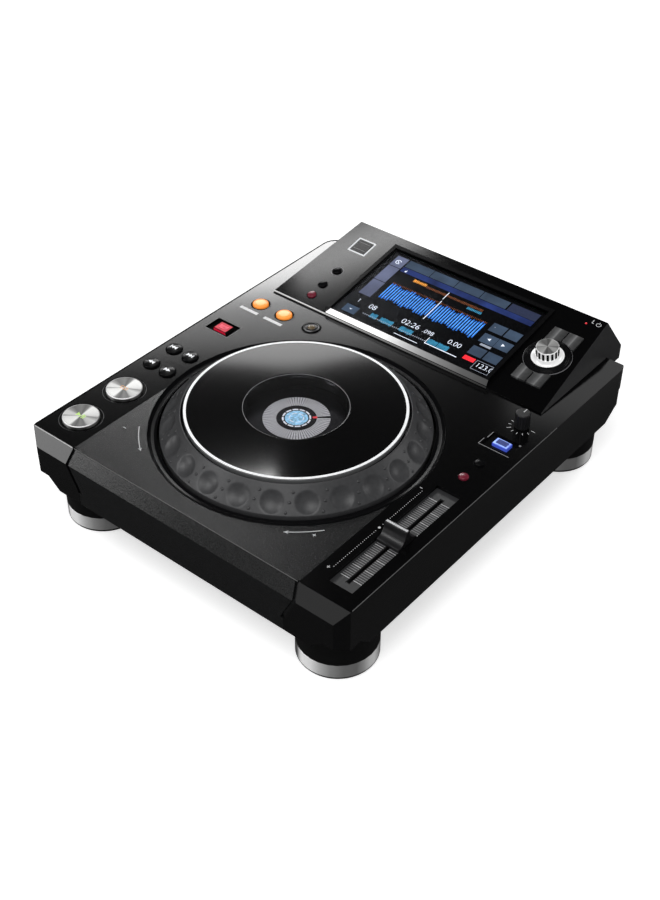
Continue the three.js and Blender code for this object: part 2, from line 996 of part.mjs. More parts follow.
function dimpleCutter() {
  const ball = (dimpleRadius ** 2 + dimpleDepth ** 2) / (2 * dimpleDepth);
  const rimAngle = Math.asin(dimpleRadius / ball);
  const section = [];
  for (let i = 0; i <= dimpleSteps + 1; i += 1) {
    const angle = (rimAngle * i) / dimpleSteps;
    section.push([ball * Math.sin(angle), ball - dimpleDepth - ball * Math.cos(angle)]);
  }
  section.push([0, section.at(-1)[1]]);
  const radius = dialRadius - dimplePlace;
  return turned(section, dimpleSides)
    .rotateY(Math.PI / 4)
    .translate(radius, 0, dialRimTop + dimplePlace);
}

function jogDial() {
  const boreRadius = postRadius + gap;
  const hubRadius = postRadius + hubWall;
  const coneSum = dialRadius + dialRimTop - dialWall;
  const lipInner = dialInner - dialLip;
  const throat = dialTop - dialThroat;
  const innerFoot = coneSum - webTop - skin;
  const section = [
    [boreRadius, dialBottom - hubDrop],
    [hubRadius, dialBottom - hubDrop],
    [hubRadius, dialBottom],
    [dialRadius, dialBottom],
    [dialRadius, dialRimTop],
    [dialInner, dialTop],
    [lipInner, dialTop],
    [lipInner, throat],
    [innerFoot, coneSum - innerFoot],
    [innerFoot, webTop],
    [boreRadius, webTop],
  ];
  const dimples = [];
  for (let i = 0; i < dimpleCount; i += 1) {
    dimples.push(dimpleCutter().rotateZ((i / dimpleCount) * Math.PI * 2));
  }
  return cut(turned(section, jogSides), ...dimples);
}

function jogPlatter() {
  const faceTop = platterTop - ringRise;
  const faceBottom = faceTop - platterThickness;
  const tubeInner = windowRadius - lip;
  const tubeOuter = tubeInner + tubeWall;
  const seat = faceTop - windowThickness - gap;
  const edgeInner = platterRadius - platterEdgeWall;
  return turned([
    [tubeInner, webTop + pressRoom],
    [tubeOuter, webTop + pressRoom],
    [tubeOuter, faceBottom],
    [edgeInner, faceBottom],
    [edgeInner, platterTop - platterEdge],
    [platterRadius, platterTop - platterEdge],
    [platterRadius, platterTop],
    [platterRadius - ringWidth, platterTop],
    [platterRadius - ringWidth, faceTop],
    [windowRadius + gap, faceTop],
    [windowRadius + gap, seat],
    [tubeInner, seat],
  ], jogSides);
}

function jogWindow() {
  const top = platterTop - ringRise;
  return disc(windowRadius, top - windowThickness, top, jogSides);
}

function jogDisplay() {
  return turned([
    [0, displayBottom - displayStep],
    [displayNeck, displayBottom - displayStep],
    [displayNeck, displayBottom],
    [displayRadius, displayBottom],
    [displayRadius, displayTop],
    [0, displayTop],
  ], roundSides);
}

function jogBase() {
  const floor = dialBottom - hubDrop - panDrop + bezelThickness;
  const rimInner = bezelInner + bezelGap;
  const rimOuter = rimInner + panWall;
  const seat = deckHeight - bezelThickness - gap;
  const shoulder = dialBottom - hubDrop - gap;
  const postTop = displayBottom - displayStep - gap;
  return turned([
    [0, floor],
    [rimOuter, floor],
    [rimOuter, flangeTop - panFlangeThickness],
    [jogHole + panFlange, flangeTop - panFlangeThickness],
    [jogHole + panFlange, flangeTop],
    [jogHole + gap, flangeTop],
    [jogHole + gap, seat],
    [rimInner, seat],
    [rimInner, floor + panWall],
    [postRadius + shoulderWidth, floor + panWall],
    [postRadius + shoulderWidth, shoulder],
    [postRadius, shoulder],
    [postRadius, postTop],
    [0, postTop],
  ], jogSides);
}

function jogBezel() {
  return turned([
    [bezelInner, deckHeight - bezelThickness],
    [bezelOuter, deckHeight - bezelThickness],
    [bezelOuter, deckHeight],
    [bezelOuter - bezelSlope, deckHeight - bezelDip],
    [bezelInner, deckHeight - bezelInnerDip],
  ], jogSides);
}

// Screen unit

function housingHalfAt(z) {
  return housingHalf - sideLean * (z - housingFoot);
}

function upperHousing(inwards) {
  const shift = inwards * housingInsetShare;
  const low = inwards > 0 ? housingFoot - overrun : housingFoot;
  const rear = depth - shift;
  const breakZ = housingFoot + rearBreakRise;
  const rows = [
    [housingHalfAt(housingFoot), screenFront + shift, low],
    [housingHalfAt(plateHeight), screenFront + shift, plateHeight - shift],
    [housingHalfAt(height), screenFront + plateRun - shift, height - shift],
    [housingHalfAt(breakZ), rear - housingCornerBack - rearBreakRun, breakZ],
    [housingRearHalf, rear - rearBreakRun, breakZ],
    [housingHalfAt(housingFoot), rear - housingCornerBack, low],
    [housingRearHalf, rear, low],
  ];
  return hullOf(rows.flatMap(([x, place, z]) => sides.map(
    (side) => [side * (x - shift), fromFront(place), z],
  )));
}

function lowerHousing(inwards) {
  const plan = inset([
    [-housingHalf, fromFront(deckLength) + gap],
    [housingHalf, fromFront(deckLength) + gap],
    [housingHalf, fromFront(depth - housingCornerBack)],
    [housingRearHalf, fromFront(depth)],
    [-housingRearHalf, fromFront(depth)],
    [-housingHalf, fromFront(depth - housingCornerBack)],
  ], inwards);
  const high = inwards > 0 ? housingFoot + overrun : housingFoot;
  return prismZ(plan, housingUnderside + inwards, high);
}

function keyWindow(direction) {
  const ys = [keyNear - gap, keyFar + gap].map((y) => selectorPlace + direction * y);
  const half = keyHalf + gap;
  const opening = centredBlock(
    selectorX,
    half,
    (ys[0] + ys[1]) / 2,
    Math.abs(ys[1] - ys[0]) / 2,
    -cutterReach / 2,
    cutterReach / 2,
  );
  const kept = cylinderAt(selectorX, selectorPlace, collarRadius, -cutterReach, cutterReach, roundSides);
  return cut(opening, kept);
}

function plateHole(x, place, radius) {
  return cylinderAt(x, place, radius, -cutterReach / 2, cutterReach / 2, smallSides);
}

function plateCutters() {
  const dots = [usbStopPlace, timePlace, quantizePlace].map(
    (place) => plateHole(plateDotX, place, dotRadius + gap),
  );
  const usbHalf = usbFrameHalf + gap;
  return [
    block(
      screenLeft + screenBorder - screenLedge,
      screenRight - screenBorder + screenLedge,
      screenStart + screenEndBorder - screenLedge,
      screenStart + screenLength - screenEndBorder + screenLedge,
      -cutterReach / 2,
      cutterReach / 2,
    ),
    centredBlock(usbX, usbHalf, usbPlace, usbHalf, -cutterReach / 2, cutterReach / 2),
    ...dots,
    plateHole(selectorX, selectorPlace, shaftRadius + gap),
    keyWindow(1),
    keyWindow(-1),
  ].map(onPlate);
}

function platePegs() {
  const edge = panelBoardHalf - pegInset;
  const low = panelBoardStart + pegInset;
  const high = panelBoardEnd - pegInset;
  const right = (screenRight + selectorX - keyHalf) / 2;
  const places = [[-edge, low], [-edge, boardNotchStart - pegInset], [right, low], [right, high]];
  return places.map(([x, y]) => onPlate(cylinderAt(
    x,
    y,
    pegRadius,
    -panelBoardDepth + gap,
    -skin + overrun,
    pegSides,
  )));
}

function screenHousing() {
  const bridge = block(
    -bridgeHalf,
    bridgeHalf,
    panelOuterFace + gap,
    fromFront(deckLength) + overrun,
    housingUnderside,
    flangeTop,
  );
  const outer = join(upperHousing(0), lowerHousing(0), bridge);
  const hollow = cut(outer, upperHousing(skin), lowerHousing(skin), ...plateCutters());
  return join(hollow, ...platePegs());
}

// Screen, in the plate's own directions: x, distance up the plate, height over it

function lcdFrame() {
  const end = screenStart + screenLength;
  const wedge = prismX([
    [screenStart, gap],
    [end, gap],
    [end, screenRearRise],
    [screenStart, screenFrontRise],
  ], screenLeft, screenRight);
  return cut(wedge, block(
    screenLeft + screenBorder,
    screenRight - screenBorder,
    screenStart + screenEndBorder,
    end - screenEndBorder,
    -overrun,
    screenFrontRise + overrun,
  ));
}

function screenSlab(inwards, top, thickness) {
  return block(
    screenLeft + screenBorder + inwards,
    screenRight - screenBorder - inwards,
    screenEndBorder + inwards,
    screenLength - screenEndBorder - inwards,
    top - thickness,
    top,
  );
}

function panelBoard() {
  const board = block(
    -panelBoardHalf,
    panelBoardHalf,
    panelBoardStart,
    panelBoardEnd,
    -panelBoardDepth - boardThickness,
    -panelBoardDepth,
  );
  const notch = block(
    -panelBoardHalf - overrun,
    boardNotchX,
    boardNotchStart,
    panelBoardEnd + overrun,
    -panelBoardDepth - boardThickness - overrun,
    -panelBoardDepth + overrun,
  );
  return cut(board, notch);
}

// The frame, door and socket, drawn round the middle of the door's opening

function squareAround(half, z0, z1) {
  return centredBlock(0, half, 0, half, z0, z1);
}

function usbFrame() {
  const mouth = usbFrameHalf - usbFrameWall;
  const ledgeTop = usbFrameRise - usbDoorThickness - gap;
  return cut(
    squareAround(usbFrameHalf, -usbFrameDepth, usbFrameRise),
    squareAround(mouth, ledgeTop, usbFrameRise + overrun),
    squareAround(mouth - usbLedge, -usbFrameDepth - overrun, ledgeTop + overrun),
  );
}

function usbDoor() {
  const half = usbFrameHalf - usbFrameWall - gap;
  return squareAround(half, usbFrameRise - usbDoorThickness, usbFrameRise);
}

function usbSocket() {
  const top = -usbFrameDepth - gap;
  const flange = squareAround(usbFrameHalf, top - usbFlange, top);
  const shell = centredBlock(0, usbShellShort / 2, 0, usbShellLong / 2, top - usbShellDepth, top - gap);
  const mouth = centredBlock(
    0,
    usbMouthShort / 2,
    0,
    usbMouthLong / 2,
    top - usbMouthDepth,
    top + overrun,
  );
  return cut(join(flange, shell), mouth);
}

// Selector and its keys, drawn round the knob's axis

function selectorCollar() {
  return turned([
    [shaftRadius + gap, gap],
    [collarRadius, gap],
    [collarRadius, gap + collarThickness],
    [shaftRadius + gap, gap + collarThickness],
  ], roundSides);
}

function plateStemFoot() {
  return -panelBoardDepth + gap + smallTravel;
}

function selectorShaft() {
  return disc(shaftRadius, plateStemFoot(), shaftTop, smallSides);
}

function selectorKnob() {
  const skirt = disc(skirtRadius, skirtBottom, skirtTop, roundSides);
  const points = [];
  for (let i = 0; i < gripFlutes * 2; i += 1) {
    const radius = i % 2 === 0 ? gripRadius : gripRadius - gripFlute;
    const angle = (i / (gripFlutes * 2)) * Math.PI * 2;
    points.push([radius * Math.cos(angle), radius * Math.sin(angle)]);
  }
  const grip = prismZ(points, skirtTop - lip, gripTop);
  const bore = disc(shaftRadius + gap, skirtBottom - overrun, shaftTop + gap, smallSides);
  return cut(join(skirt, grip), bore);
}

function selectorKey(sideX, sideY) {
  const spot = (x0, x1, y0, y1, z0, z1) => block(
    Math.min(sideX * x0, sideX * x1),
    Math.max(sideX * x0, sideX * x1),
    Math.min(sideY * y0, sideY * y1),
    Math.max(sideY * y0, sideY * y1),
    z0,
    z1,
  );
  const flangeHigh = -skin - gap;
  const flangeLow = flangeHigh - flangeThickness;
  const cap = cut(
    spot(keyDivide, keyHalf, keyNear, keyFar, flangeHigh - gap, keyRise),
    disc(collarRadius + gap, -cutterReach, cutterReach, roundSides),
  );
  const flange = cut(
    spot(keyDivide, keyHalf + lip, keyNear - lip, keyFar + lip, flangeLow, flangeHigh),
    disc(collarRadius - lip, -cutterReach, cutterReach, roundSides),
  );
  const stemX = keyHalf / 2;
  const stemY = (keyNear + keyFar) / 2;
  const stem = spot(
    stemX - keyStem,
    stemX + keyStem,
    stemY - keyStem,
    stemY + keyStem,
    plateStemFoot(),
    flangeLow + gap,
  );
  return join(cap, flange, stem);
}

// Buttons, drawn round their own axis: a stem, a flange under the cover and a cap through it

function capButton({ radius, well = radius + gap, crown, rise, surface, under, foot, count }) {
  const flangeHigh = under - gap;
  const flangeLow = flangeHigh - flangeThickness;
  const top = surface + rise;
  return turned([
    [0, foot],
    [stemRadius, foot],
    [stemRadius, flangeLow],
    [well + lip, flangeLow],
    [well + lip, flangeHigh],
    [radius, flangeHigh],
    [radius, top - crown],
    [radius * crownShare, top],
    [0, top],
  ], count);
}

function deckButton(radius, crown, rise, travel, options = {}) {
  return capButton({
    radius,
    crown,
    rise,
    surface: deckHeight,
    under: deckUnderside,
    foot: controlBoardTop + gap + travel,
    count: smallSides,
    ...options,
  });
}

function plateButton() {
  return capButton({
    radius: dotRadius,
    crown: dotCrown,
    rise: dotRise,
    surface: 0,
    under: -skin,
    foot: plateStemFoot(),
    count: smallSides,
  });
}

function bigButton() {
  const flangeLow = flangeTop - flangeThickness;
  const top = deckHeight + bigRise;
  return turned([
    [0, controlBoardTop + gap + bigTravel],
    [stemRadius * 2, controlBoardTop + gap + bigTravel],
    [stemRadius * 2, flangeLow],
    [bigRadius + gap + lip, flangeLow],
    [bigRadius + gap + lip, flangeTop],
    [bigRadius, flangeTop],
    [bigRadius, top - bigEdge],
    [bigRadius - bigEdge, top],
    [0, top],
  ], roundSides);
}

function directionLever() {
  const left = slotX - slotHalfX - leverOvertake;
  const right = slotX + slotHalfX + leverTravel + leverOvertake;
  const y = fromFront(slotFromFront);
  const flange = centredBlock(
    (left + right) / 2,
    (right - left) / 2,
    y,
    slotHalfY + lip,
    flangeTop - faderPlateThickness,
    flangeTop,
  );
  const top = deckHeight + leverRise;
  const gripY = y - leverForward;
  const grip = prismY([
    [leverX - leverHalfX, flangeTop - gap],
    [leverX + leverHalfX, flangeTop - gap],
    [leverX + leverHalfX, deckHeight + leverSkirt],
    [leverX + leverTopHalfX, top],
    [leverX - leverTopHalfX, top],
    [leverX - leverHalfX, deckHeight + leverSkirt],
  ], gripY - leverHalfY, gripY + leverHalfY);
  return join(flange, grip);
}

function jogModeButton() {
  const y = fromFront(modeFromFront);
  const flangeLow = flangeTop - flangeThickness;
  const cap = centredBlock(
    modeButtonX,
    modeButtonHalfX,
    y,
    modeButtonHalfY,
    flangeLow + gap,
    deckHeight + modeButtonRise,
  );
  const flange = centredBlock(
    modeButtonX,
    modeButtonHalfX + gap + lip,
    y,
    modeButtonHalfY + gap + lip,
    flangeLow,
    flangeTop,
  );
  const stem = centredBlock(
    modeButtonX,
    stemRadius,
    y,
    stemRadius,
    controlBoardTop + gap + midTravel,
    flangeLow + gap,
  );
  return join(cap, flange, stem);
}

function speedKnob() {
  const low = deckHeight + gap;
  const top = deckHeight + speedHeight;
  return turned([
    [0, controlBoardTop + gap],
    [speedShaft, controlBoardTop + gap],
    [speedShaft, low],
    [speedRadius, low],
    [speedTopRadius, top - gap],
    [speedTopRadius - gap, top],
    [0, top],
  ], smallSides);
}

// Tempo fader, drawn in place

function tempoFader() {
  const y = fromFront(faderFromFront);
  const plateLow = flangeTop - faderPlateThickness;
  const channelHalfY = faderTravel + carriageHalfY + channelEnd;
  const plate = centredBlock(
    faderX,
    faderHalfX + faderPlateLip,
    y,
    faderHalfY + faderPlateLip,
    plateLow,
    flangeTop,
  );
  const channelLow = plateLow - channelDepth;
  const channel = centredBlock(faderX, channelHalf, y, channelHalfY, channelLow, plateLow + gap);
  const cavity = centredBlock(
    faderX,
    channelHalf - channelWall,
    y,
    channelHalfY - channelWall,
    channelLow + channelWall,
    plateLow,
  );
  const slotHalfLength = faderTravel + faderStemHalfY + gap;
  const slot = centredBlock(faderX, slotHalf, y, slotHalfLength, plateLow - overrun, flangeTop + overrun);
  return cut(join(plate, channel), cavity, slot);
}

function tempoSlider() {
  const y = fromFront(faderFromFront);
  const low = flangeTop + capHover;
  const side = [];
  for (let i = 0; i <= capSteps; i += 1) {
    const share = i / capSteps;
    side.push([
      capHalfY - (capHalfY - capTopHalf) * Math.sin(share * (Math.PI / 2)),
      low + capFoot + (capHeight - capFoot) * (1 - Math.cos(share * (Math.PI / 2))),
    ]);
  }
  const profile = [[capHalfY, low], ...side];
  const whole = [...profile, ...mirrored(profile).reverse()].map(([along, z]) => [y + along, z]);
  const cap = prismX(whole, faderX - capHalfX, faderX + capHalfX);
  const carriageTop = flangeTop - faderPlateThickness - carriageDrop;
  const stem = centredBlock(faderX, faderStemHalfX, y, faderStemHalfY, carriageTop - gap, low + gap);
  const carriage = centredBlock(
    faderX,
    carriageHalfX,
    y,
    carriageHalfY,
    carriageTop - carriageHeight,
    carriageTop,
  );
  return join(cap, stem, carriage);
}

// Boards

function controlBoard() {
  const low = controlBoardTop - boardThickness;
  const left = block(
    -boardOuterHalf,
    -boardInnerX,
    fromFront(boardFront),
    fromFront(boardRear),
    low,
    controlBoardTop,
  );
  const right = block(
    boardInnerX,
    boardOuterHalf,
    fromFront(boardRightFront),
    fromFront(boardRear),
    low,
    controlBoardTop,
  );
  const across = block(
    -boardOuterHalf,
    boardOuterHalf,
    fromFront(boardCross),
    fromFront(boardRear),
    low,
    controlBoardTop,
  );
  const panRadius = bezelInner + bezelGap + panWall + gap;
  return cut(join(left, right, across), jogHoleCutter(panRadius));
}

function mainBoard() {
  const board = block(
    mainBoardLeft,
    mainBoardRight,
    fromFront(lowBoardFront),
    fromFront(lowBoardRear),
    lowBoardBottom,
    lowBoardTop,
  );
  const chip = centredBlock(
    chipX,
    chipHalf,
    fromFront(chipFromFront),
    chipHalf,
    lowBoardTop - gap,
    lowBoardTop + chipHeight,
  );
  const bossRoom = cylinderAt(
    -footX,
    fromFront(footRear),
    footRadius + lip,
    floorTop,
    bossTop + cutterReach,
    roundSides,
  );
  return cut(join(board, chip), bossRoom);
}

function powerSupply() {
  const rear = fromFront(supplyRear);
  const board = block(supplyLeft, supplyRight, fromFront(lowBoardFront), rear, lowBoardBottom, lowBoardTop);
  const can = block(
    supplyLeft + supplyInset,
    supplyRight - supplyInset,
    fromFront(lowBoardFront) + supplyInset,
    rear - supplyInset,
    lowBoardTop - gap,
    lowBoardTop + supplyHeight,
  );
  const bossRoom = cylinderAt(
    footX,
    fromFront(footRear),
    footRadius + lip,
    floorTop,
    bossTop + cutterReach,
    roundSides,
  );
  return cut(join(board, can), bossRoom);
}

// Rear panel and sockets, drawn in place

function behindPanel(x, half, z0, z1, length, reach) {
  return block(x - half, x + half, panelOuterFace - length, panelOuterFace + reach, z0, z1);
}

function acrossPanel(x, halfX, z0, z1) {
  return behindPanel(x, halfX, z0, z1, cutterReach, overrun);
}

function jackBarrel(x, radius, y0, y1) {
  return disc(radius, y0, y1, smallSides)
    .rotateX(-Math.PI / 2)
    .translate(x, 0, jackZ);
}

function rearPanel() {
  const sheet = block(
    -panelHalf,
    panelHalf,
    fromFront(interiorLength),
    panelOuterFace,
    floorTop + gap,
    flangeTop,
  );
  const barrels = jackXs.map((x) => jackBarrel(
    x,
    jackRadius + gap,
    panelOuterFace - cutterReach,
    panelOuterFace + overrun,
  ));
  return cut(
    sheet,
    acrossPanel(inletX, inletHalfX + gap, inletZ - inletHalfZ - gap, inletZ + inletHalfZ + gap),
    acrossPanel(powerX, powerHalfX + gap, inletZ - powerHalfZ - gap, inletZ + powerHalfZ + gap),
    acrossPanel(lanX, lanHalf + gap, socketBottom - gap, socketBottom + lanHeight + gap),
    acrossPanel(usbBX, usbBHalf + gap, socketBottom - gap, socketBottom + usbBHeight + gap),
    acrossPanel(lockX, lockHalfX, inletZ - lockHalfZ, inletZ + lockHalfZ),
    ...barrels,
    ...bossCutters(footRadius + gap, bodyBottom - overrun, cutHeight),
  );
}

function powerInlet() {
  return cut(
    behindPanel(inletX, inletHalfX, inletZ - inletHalfZ, inletZ + inletHalfZ, inletDepth, gap),
    behindPanel(inletX, inletMouthX, inletZ - inletMouthZ, inletZ + inletMouthZ, inletMouthDepth, overrun),
  );
}

function powerButton() {
  const panelInner = fromFront(interiorLength);
  const cap = block(
    powerX - powerHalfX,
    powerX + powerHalfX,
    panelInner - powerLength,
    panelOuterFace + powerReach,
    inletZ - powerHalfZ,
    inletZ + powerHalfZ,
  );
  const flange = block(
    powerX - powerHalfX - lip - gap,
    powerX + powerHalfX + lip + gap,
    panelInner - gap - powerFlange,
    panelInner - gap,
    inletZ - powerHalfZ - lip - gap,
    inletZ + powerHalfZ + lip + gap,
  );
  return join(cap, flange);
}

function audioJacks() {
  const panelInner = fromFront(interiorLength);
  const body = block(
    Math.min(...jackXs) - jackBlockEdge,
    Math.max(...jackXs) + jackBlockEdge,
    panelInner - gap - jackBlockDepth,
    panelInner - gap,
    socketBottom,
    socketBottom + jackBlockHeight,
  );
  const barrels = jackXs.map((x) => jackBarrel(
    x,
    jackRadius,
    panelInner - overrun,
    panelOuterFace + jackLength,
  ));
  const bores = jackXs.map((x) => jackBarrel(
    x,
    jackBore,
    panelOuterFace,
    panelOuterFace + jackLength + overrun,
  ));
  return cut(join(body, ...barrels), ...bores);
}

function lanSocket() {
  const sill = socketBottom + lanMouthSill;
  return cut(
    behindPanel(lanX, lanHalf, socketBottom, socketBottom + lanHeight, lanDepth, gap),
    behindPanel(lanX, lanMouthHalf, sill, sill + lanMouthHeight, lanMouthDepth, overrun),
  );
}

function usbBSocket() {
  const sill = socketBottom + usbBMouthSill;
  return cut(
    behindPanel(usbBX, usbBHalf, socketBottom, socketBottom + usbBHeight, usbBDepth, gap),
    behindPanel(usbBX, usbBMouthHalf, sill, sill + usbBMouthHeight, usbBMouthDepth, overrun),
  );
}

// Finishes

function finish(color, roughness, metalness = 0) {
  return () => new THREE.MeshStandardMaterial({ color, roughness, metalness });
}

const glossBlack = finish(0x0d0e10, 0.18);
const mattBlack = finish(0x26272a, 0.6);
const plainBlack = finish(0x151618, 0.5);
const dialBlack = finish(0x2b2d30, 0.55);
const silver = finish(0xb9bbbe, 0.3, 0.9);
const chrome = finish(0xd8dadd, 0.12, 1);
const rubber = finish(0x141414, 0.9);
const steel = finish(0x24262a, 0.45, 0.4);
const boardGreen = finish(0x1f4a2c, 0.6);
const metalCan = finish(0x9a9ca0, 0.35, 0.8);
const keyGrey = finish(0x5a5c60, 0.4);
const clear = finish(0x101418, 0.05);
const screenBlue = finish(0x1c3f86, 0.3);
const litWhite = finish(0xe6ebef, 0.4);
const litOrange = finish(0xffa12b, 0.4);
const litBlue = finish(0x2b63ff, 0.4);
const litRed = finish(0xd11f35, 0.35);
const darkRed = finish(0x6d1426, 0.4);
const displayDark = finish(0x2a2e33, 0.3);

// Assembly

const player = new THREE.Group();
const jog = new THREE.Group();
jog.position.set(0, jogY, 0);
const plate = new THREE.Group();
plate.position.set(0, fromFront(screenFront), plateHeight);
plate.rotation.x = plateTilt;
const screen = new THREE.Group();
screen.position.set(0, screenStart, screenFrontRise);
screen.rotation.x = -screenTilt;
const usb = new THREE.Group();
usb.position.set(usbX, usbPlace, 0);
const selector = new THREE.Group();
selector.position.set(selectorX, selectorPlace, 0);
plate.add(screen, usb, selector);
player.add(jog, plate);

function add(name, geometry, material, parent = player, place = [0, 0, 0]) {
  const mesh = new THREE.Mesh(geometry, material());
  mesh.name = name;
  mesh.position.set(...place);
  parent.add(mesh);
}

function addOnDeck(name, geometry, material, x, place) {
  add(name, geometry, material, player, [x, fromFront(place), 0]);
}

add('top_case', topCase(), glossBlack);
add('palm_rest', palmRest(), mattBlack);
add('bottom_case', bottomCase(), plainBlack);
add('rear_panel', rearPanel(), steel);
add('screen_housing', screenHousing(), glossBlack);

for (const [row, place] of [['front', footFront], ['rear', footRear]]) {
  for (const [column, side] of [['left', -1], ['right', 1]]) {
    addOnDeck(`foot_${row}_${column}`, footCup(), silver, side * footX, place);
    addOnDeck(`pad_${row}_${column}`, footPad(), rubber, side * footX, place);
  }
}

add('jog_bezel', jogBezel(), glossBlack, jog);
add('jog_base', jogBase(), plainBlack, jog);
add('jog_dial', jogDial(), dialBlack, jog);
add('jog_platter', jogPlatter(), glossBlack, jog);
add('jog_window', jogWindow(), clear, jog);
add('jog_display', jogDisplay(), displayDark, jog);

add('lcd_frame', lcdFrame(), glossBlack, plate);
add('touch_glass', screenSlab(screenPlay, -glassSink, glassThickness), clear, screen);
add(
  'lcd_panel',
  screenSlab(screenLedge + screenPlay, -glassSink - glassThickness - gap, panelThickness),
  screenBlue,
  screen,
);
add('panel_board', panelBoard(), boardGreen, plate);
add('usb_frame', usbFrame(), litWhite, usb);
add('usb_door', usbDoor(), keyGrey, usb);
add('usb_socket', usbSocket(), metalCan, usb);
add('usb_stop_button', plateButton(), plainBlack, plate, [plateDotX, usbStopPlace, 0]);
add('time_button', plateButton(), plainBlack, plate, [plateDotX, timePlace, 0]);
add('quantize_button', plateButton(), darkRed, plate, [plateDotX, quantizePlace, 0]);
add('selector_collar', selectorCollar(), plainBlack, selector);
add('selector_shaft', selectorShaft(), metalCan, selector);
add('selector_knob', selectorKnob(), chrome, selector);
add('back_key', selectorKey(-1, 1), keyGrey, selector);
add('tag_key', selectorKey(1, 1), keyGrey, selector);
add('filter_key', selectorKey(-1, -1), keyGrey, selector);
add('shortcut_key', selectorKey(1, -1), keyGrey, selector);

addOnDeck('play_button', bigButton(), silver, leftColumn, playFromFront);
addOnDeck('cue_button', bigButton(), silver, leftColumn, cueFromFront);

const searchButton = deckButton(searchRadius, searchCrown, searchRise, midTravel);
for (const [row, place] of [['search', searchFromFront], ['track', trackFromFront]]) {
  for (const [way, side] of [['back', -1], ['forward', 1]]) {
    const x = searchX + side * searchPitch / 2;
    addOnDeck(`${row}_${way}_button`, searchButton.clone(), plainBlack, x, place);
  }
}

const loopButton = deckButton(loopRadius, loopCrown, loopRise, midTravel, { well: loopWell });
addOnDeck('loop_in_button', loopButton.clone(), litOrange, loopInX, loopFromFront);
addOnDeck('loop_out_button', loopButton.clone(), litOrange, loopOutX, loopFromFront);
addOnDeck('loop_exit_button', loopButton.clone(), plainBlack, loopExitX, loopFromFront);
add('direction_lever', directionLever(), litRed);

const deckDot = deckButton(dotRadius, dotCrown, dotRise, smallTravel);
addOnDeck('master_tempo_button', deckDot.clone(), darkRed, rightColumn, masterTempoFromFront);
addOnDeck('tempo_range_button', deckDot.clone(), plainBlack, rightColumn, tempoRangeFromFront);
add('jog_mode_button', jogModeButton(), litBlue);
addOnDeck('speed_knob', speedKnob(), plainBlack, rightColumn, speedFromFront);
add('tempo_fader', tempoFader(), metalCan);
add('tempo_slider', tempoSlider(), plainBlack);

add('control_board', controlBoard(), boardGreen);
add('main_board', mainBoard(), boardGreen);
add('power_supply', powerSupply(), metalCan);
add('power_inlet', powerInlet(), plainBlack);
add('power_button', powerButton(), plainBlack);
add('audio_jacks', audioJacks(), plainBlack);
add('lan_socket', lanSocket(), metalCan);
add('usb_b_socket', usbBSocket(), metalCan);

export default player;
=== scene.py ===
import json
import math

import bmesh
import bpy
from mathutils import Matrix, Vector


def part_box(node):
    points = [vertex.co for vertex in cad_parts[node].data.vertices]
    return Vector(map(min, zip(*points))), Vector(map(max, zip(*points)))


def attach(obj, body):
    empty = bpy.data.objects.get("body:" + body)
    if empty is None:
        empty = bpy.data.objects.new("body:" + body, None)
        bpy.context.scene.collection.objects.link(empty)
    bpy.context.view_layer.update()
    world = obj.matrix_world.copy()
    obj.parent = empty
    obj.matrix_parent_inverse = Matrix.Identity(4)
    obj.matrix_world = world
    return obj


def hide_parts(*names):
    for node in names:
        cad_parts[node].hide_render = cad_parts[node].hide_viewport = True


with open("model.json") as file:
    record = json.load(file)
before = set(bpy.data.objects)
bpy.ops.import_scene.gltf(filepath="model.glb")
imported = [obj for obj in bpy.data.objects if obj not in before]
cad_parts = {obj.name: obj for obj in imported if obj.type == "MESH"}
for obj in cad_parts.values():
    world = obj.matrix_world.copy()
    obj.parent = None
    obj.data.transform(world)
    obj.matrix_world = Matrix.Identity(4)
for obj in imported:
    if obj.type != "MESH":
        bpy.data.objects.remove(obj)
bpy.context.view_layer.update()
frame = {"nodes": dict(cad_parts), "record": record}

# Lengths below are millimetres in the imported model's frame, except where a name says metres.
MM = 0.001
RECORD = frame["record"]
BODY = {node: body for body, nodes in RECORD["behaviour"]["bodies"].items() for node in nodes}


# Places

def low(node):
    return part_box(node)[0] / MM


def high(node):
    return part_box(node)[1] / MM


def middle(node):
    return (low(node) + high(node)) / 2


def half_width(node):
    return (high(node).x - low(node).x) / 2


def at(x, y, z=0.0):
    return Matrix.Translation(Vector((x, y, z)) * MM)


def over(node):
    """The upright place over a node's middle."""
    spot = middle(node)
    return at(spot.x, spot.y)


# The deck, read from the frame
DECK = high("top_case").z
FRONT = low("top_case").y
JOG_PLACE = over("jog_dial")
# The control plate slopes up from its front edge
PLATE_EDGE_RISE = 1.3
PLATE_TILT = math.atan2(22.2, 108.9)
PLATE_FRONT = 68.25
PLATE = at(0, PLATE_FRONT, DECK + PLATE_EDGE_RISE) @ Matrix.Rotation(PLATE_TILT, 4, "X")
# The screen's frame is a wedge on the plate, and the display lies a little below its top
FRAME_START = 1.5
FRAME_LENGTH = 99.5
FRAME_FRONT_RISE = 4.5
FRAME_REAR_RISE = 1.2
FRAME_TILT = -math.atan2(FRAME_FRONT_RISE - FRAME_REAR_RISE, FRAME_LENGTH)
SLOPE_END = 4.5
SCREEN = PLATE @ at(0, FRAME_START, FRAME_FRONT_RISE) @ Matrix.Rotation(FRAME_TILT, 4, "X")
FRAME_SINK = 0.6
GLASS_THICKNESS = 1.0
AIR_GAP = 0.3
DISPLAY_TOP = -FRAME_SINK - GLASS_THICKNESS - AIR_GAP
# Prints stand this far out of what they lie on
PRINT_THICKNESS = 0.06
PRINT_RISE = 0.02
FINE_STEPS = 192
WIDE_STEPS = 96
SMALL_STEPS = 40


def on_plate(x, y, z=0.0):
    return PLATE @ at(x, y, z)


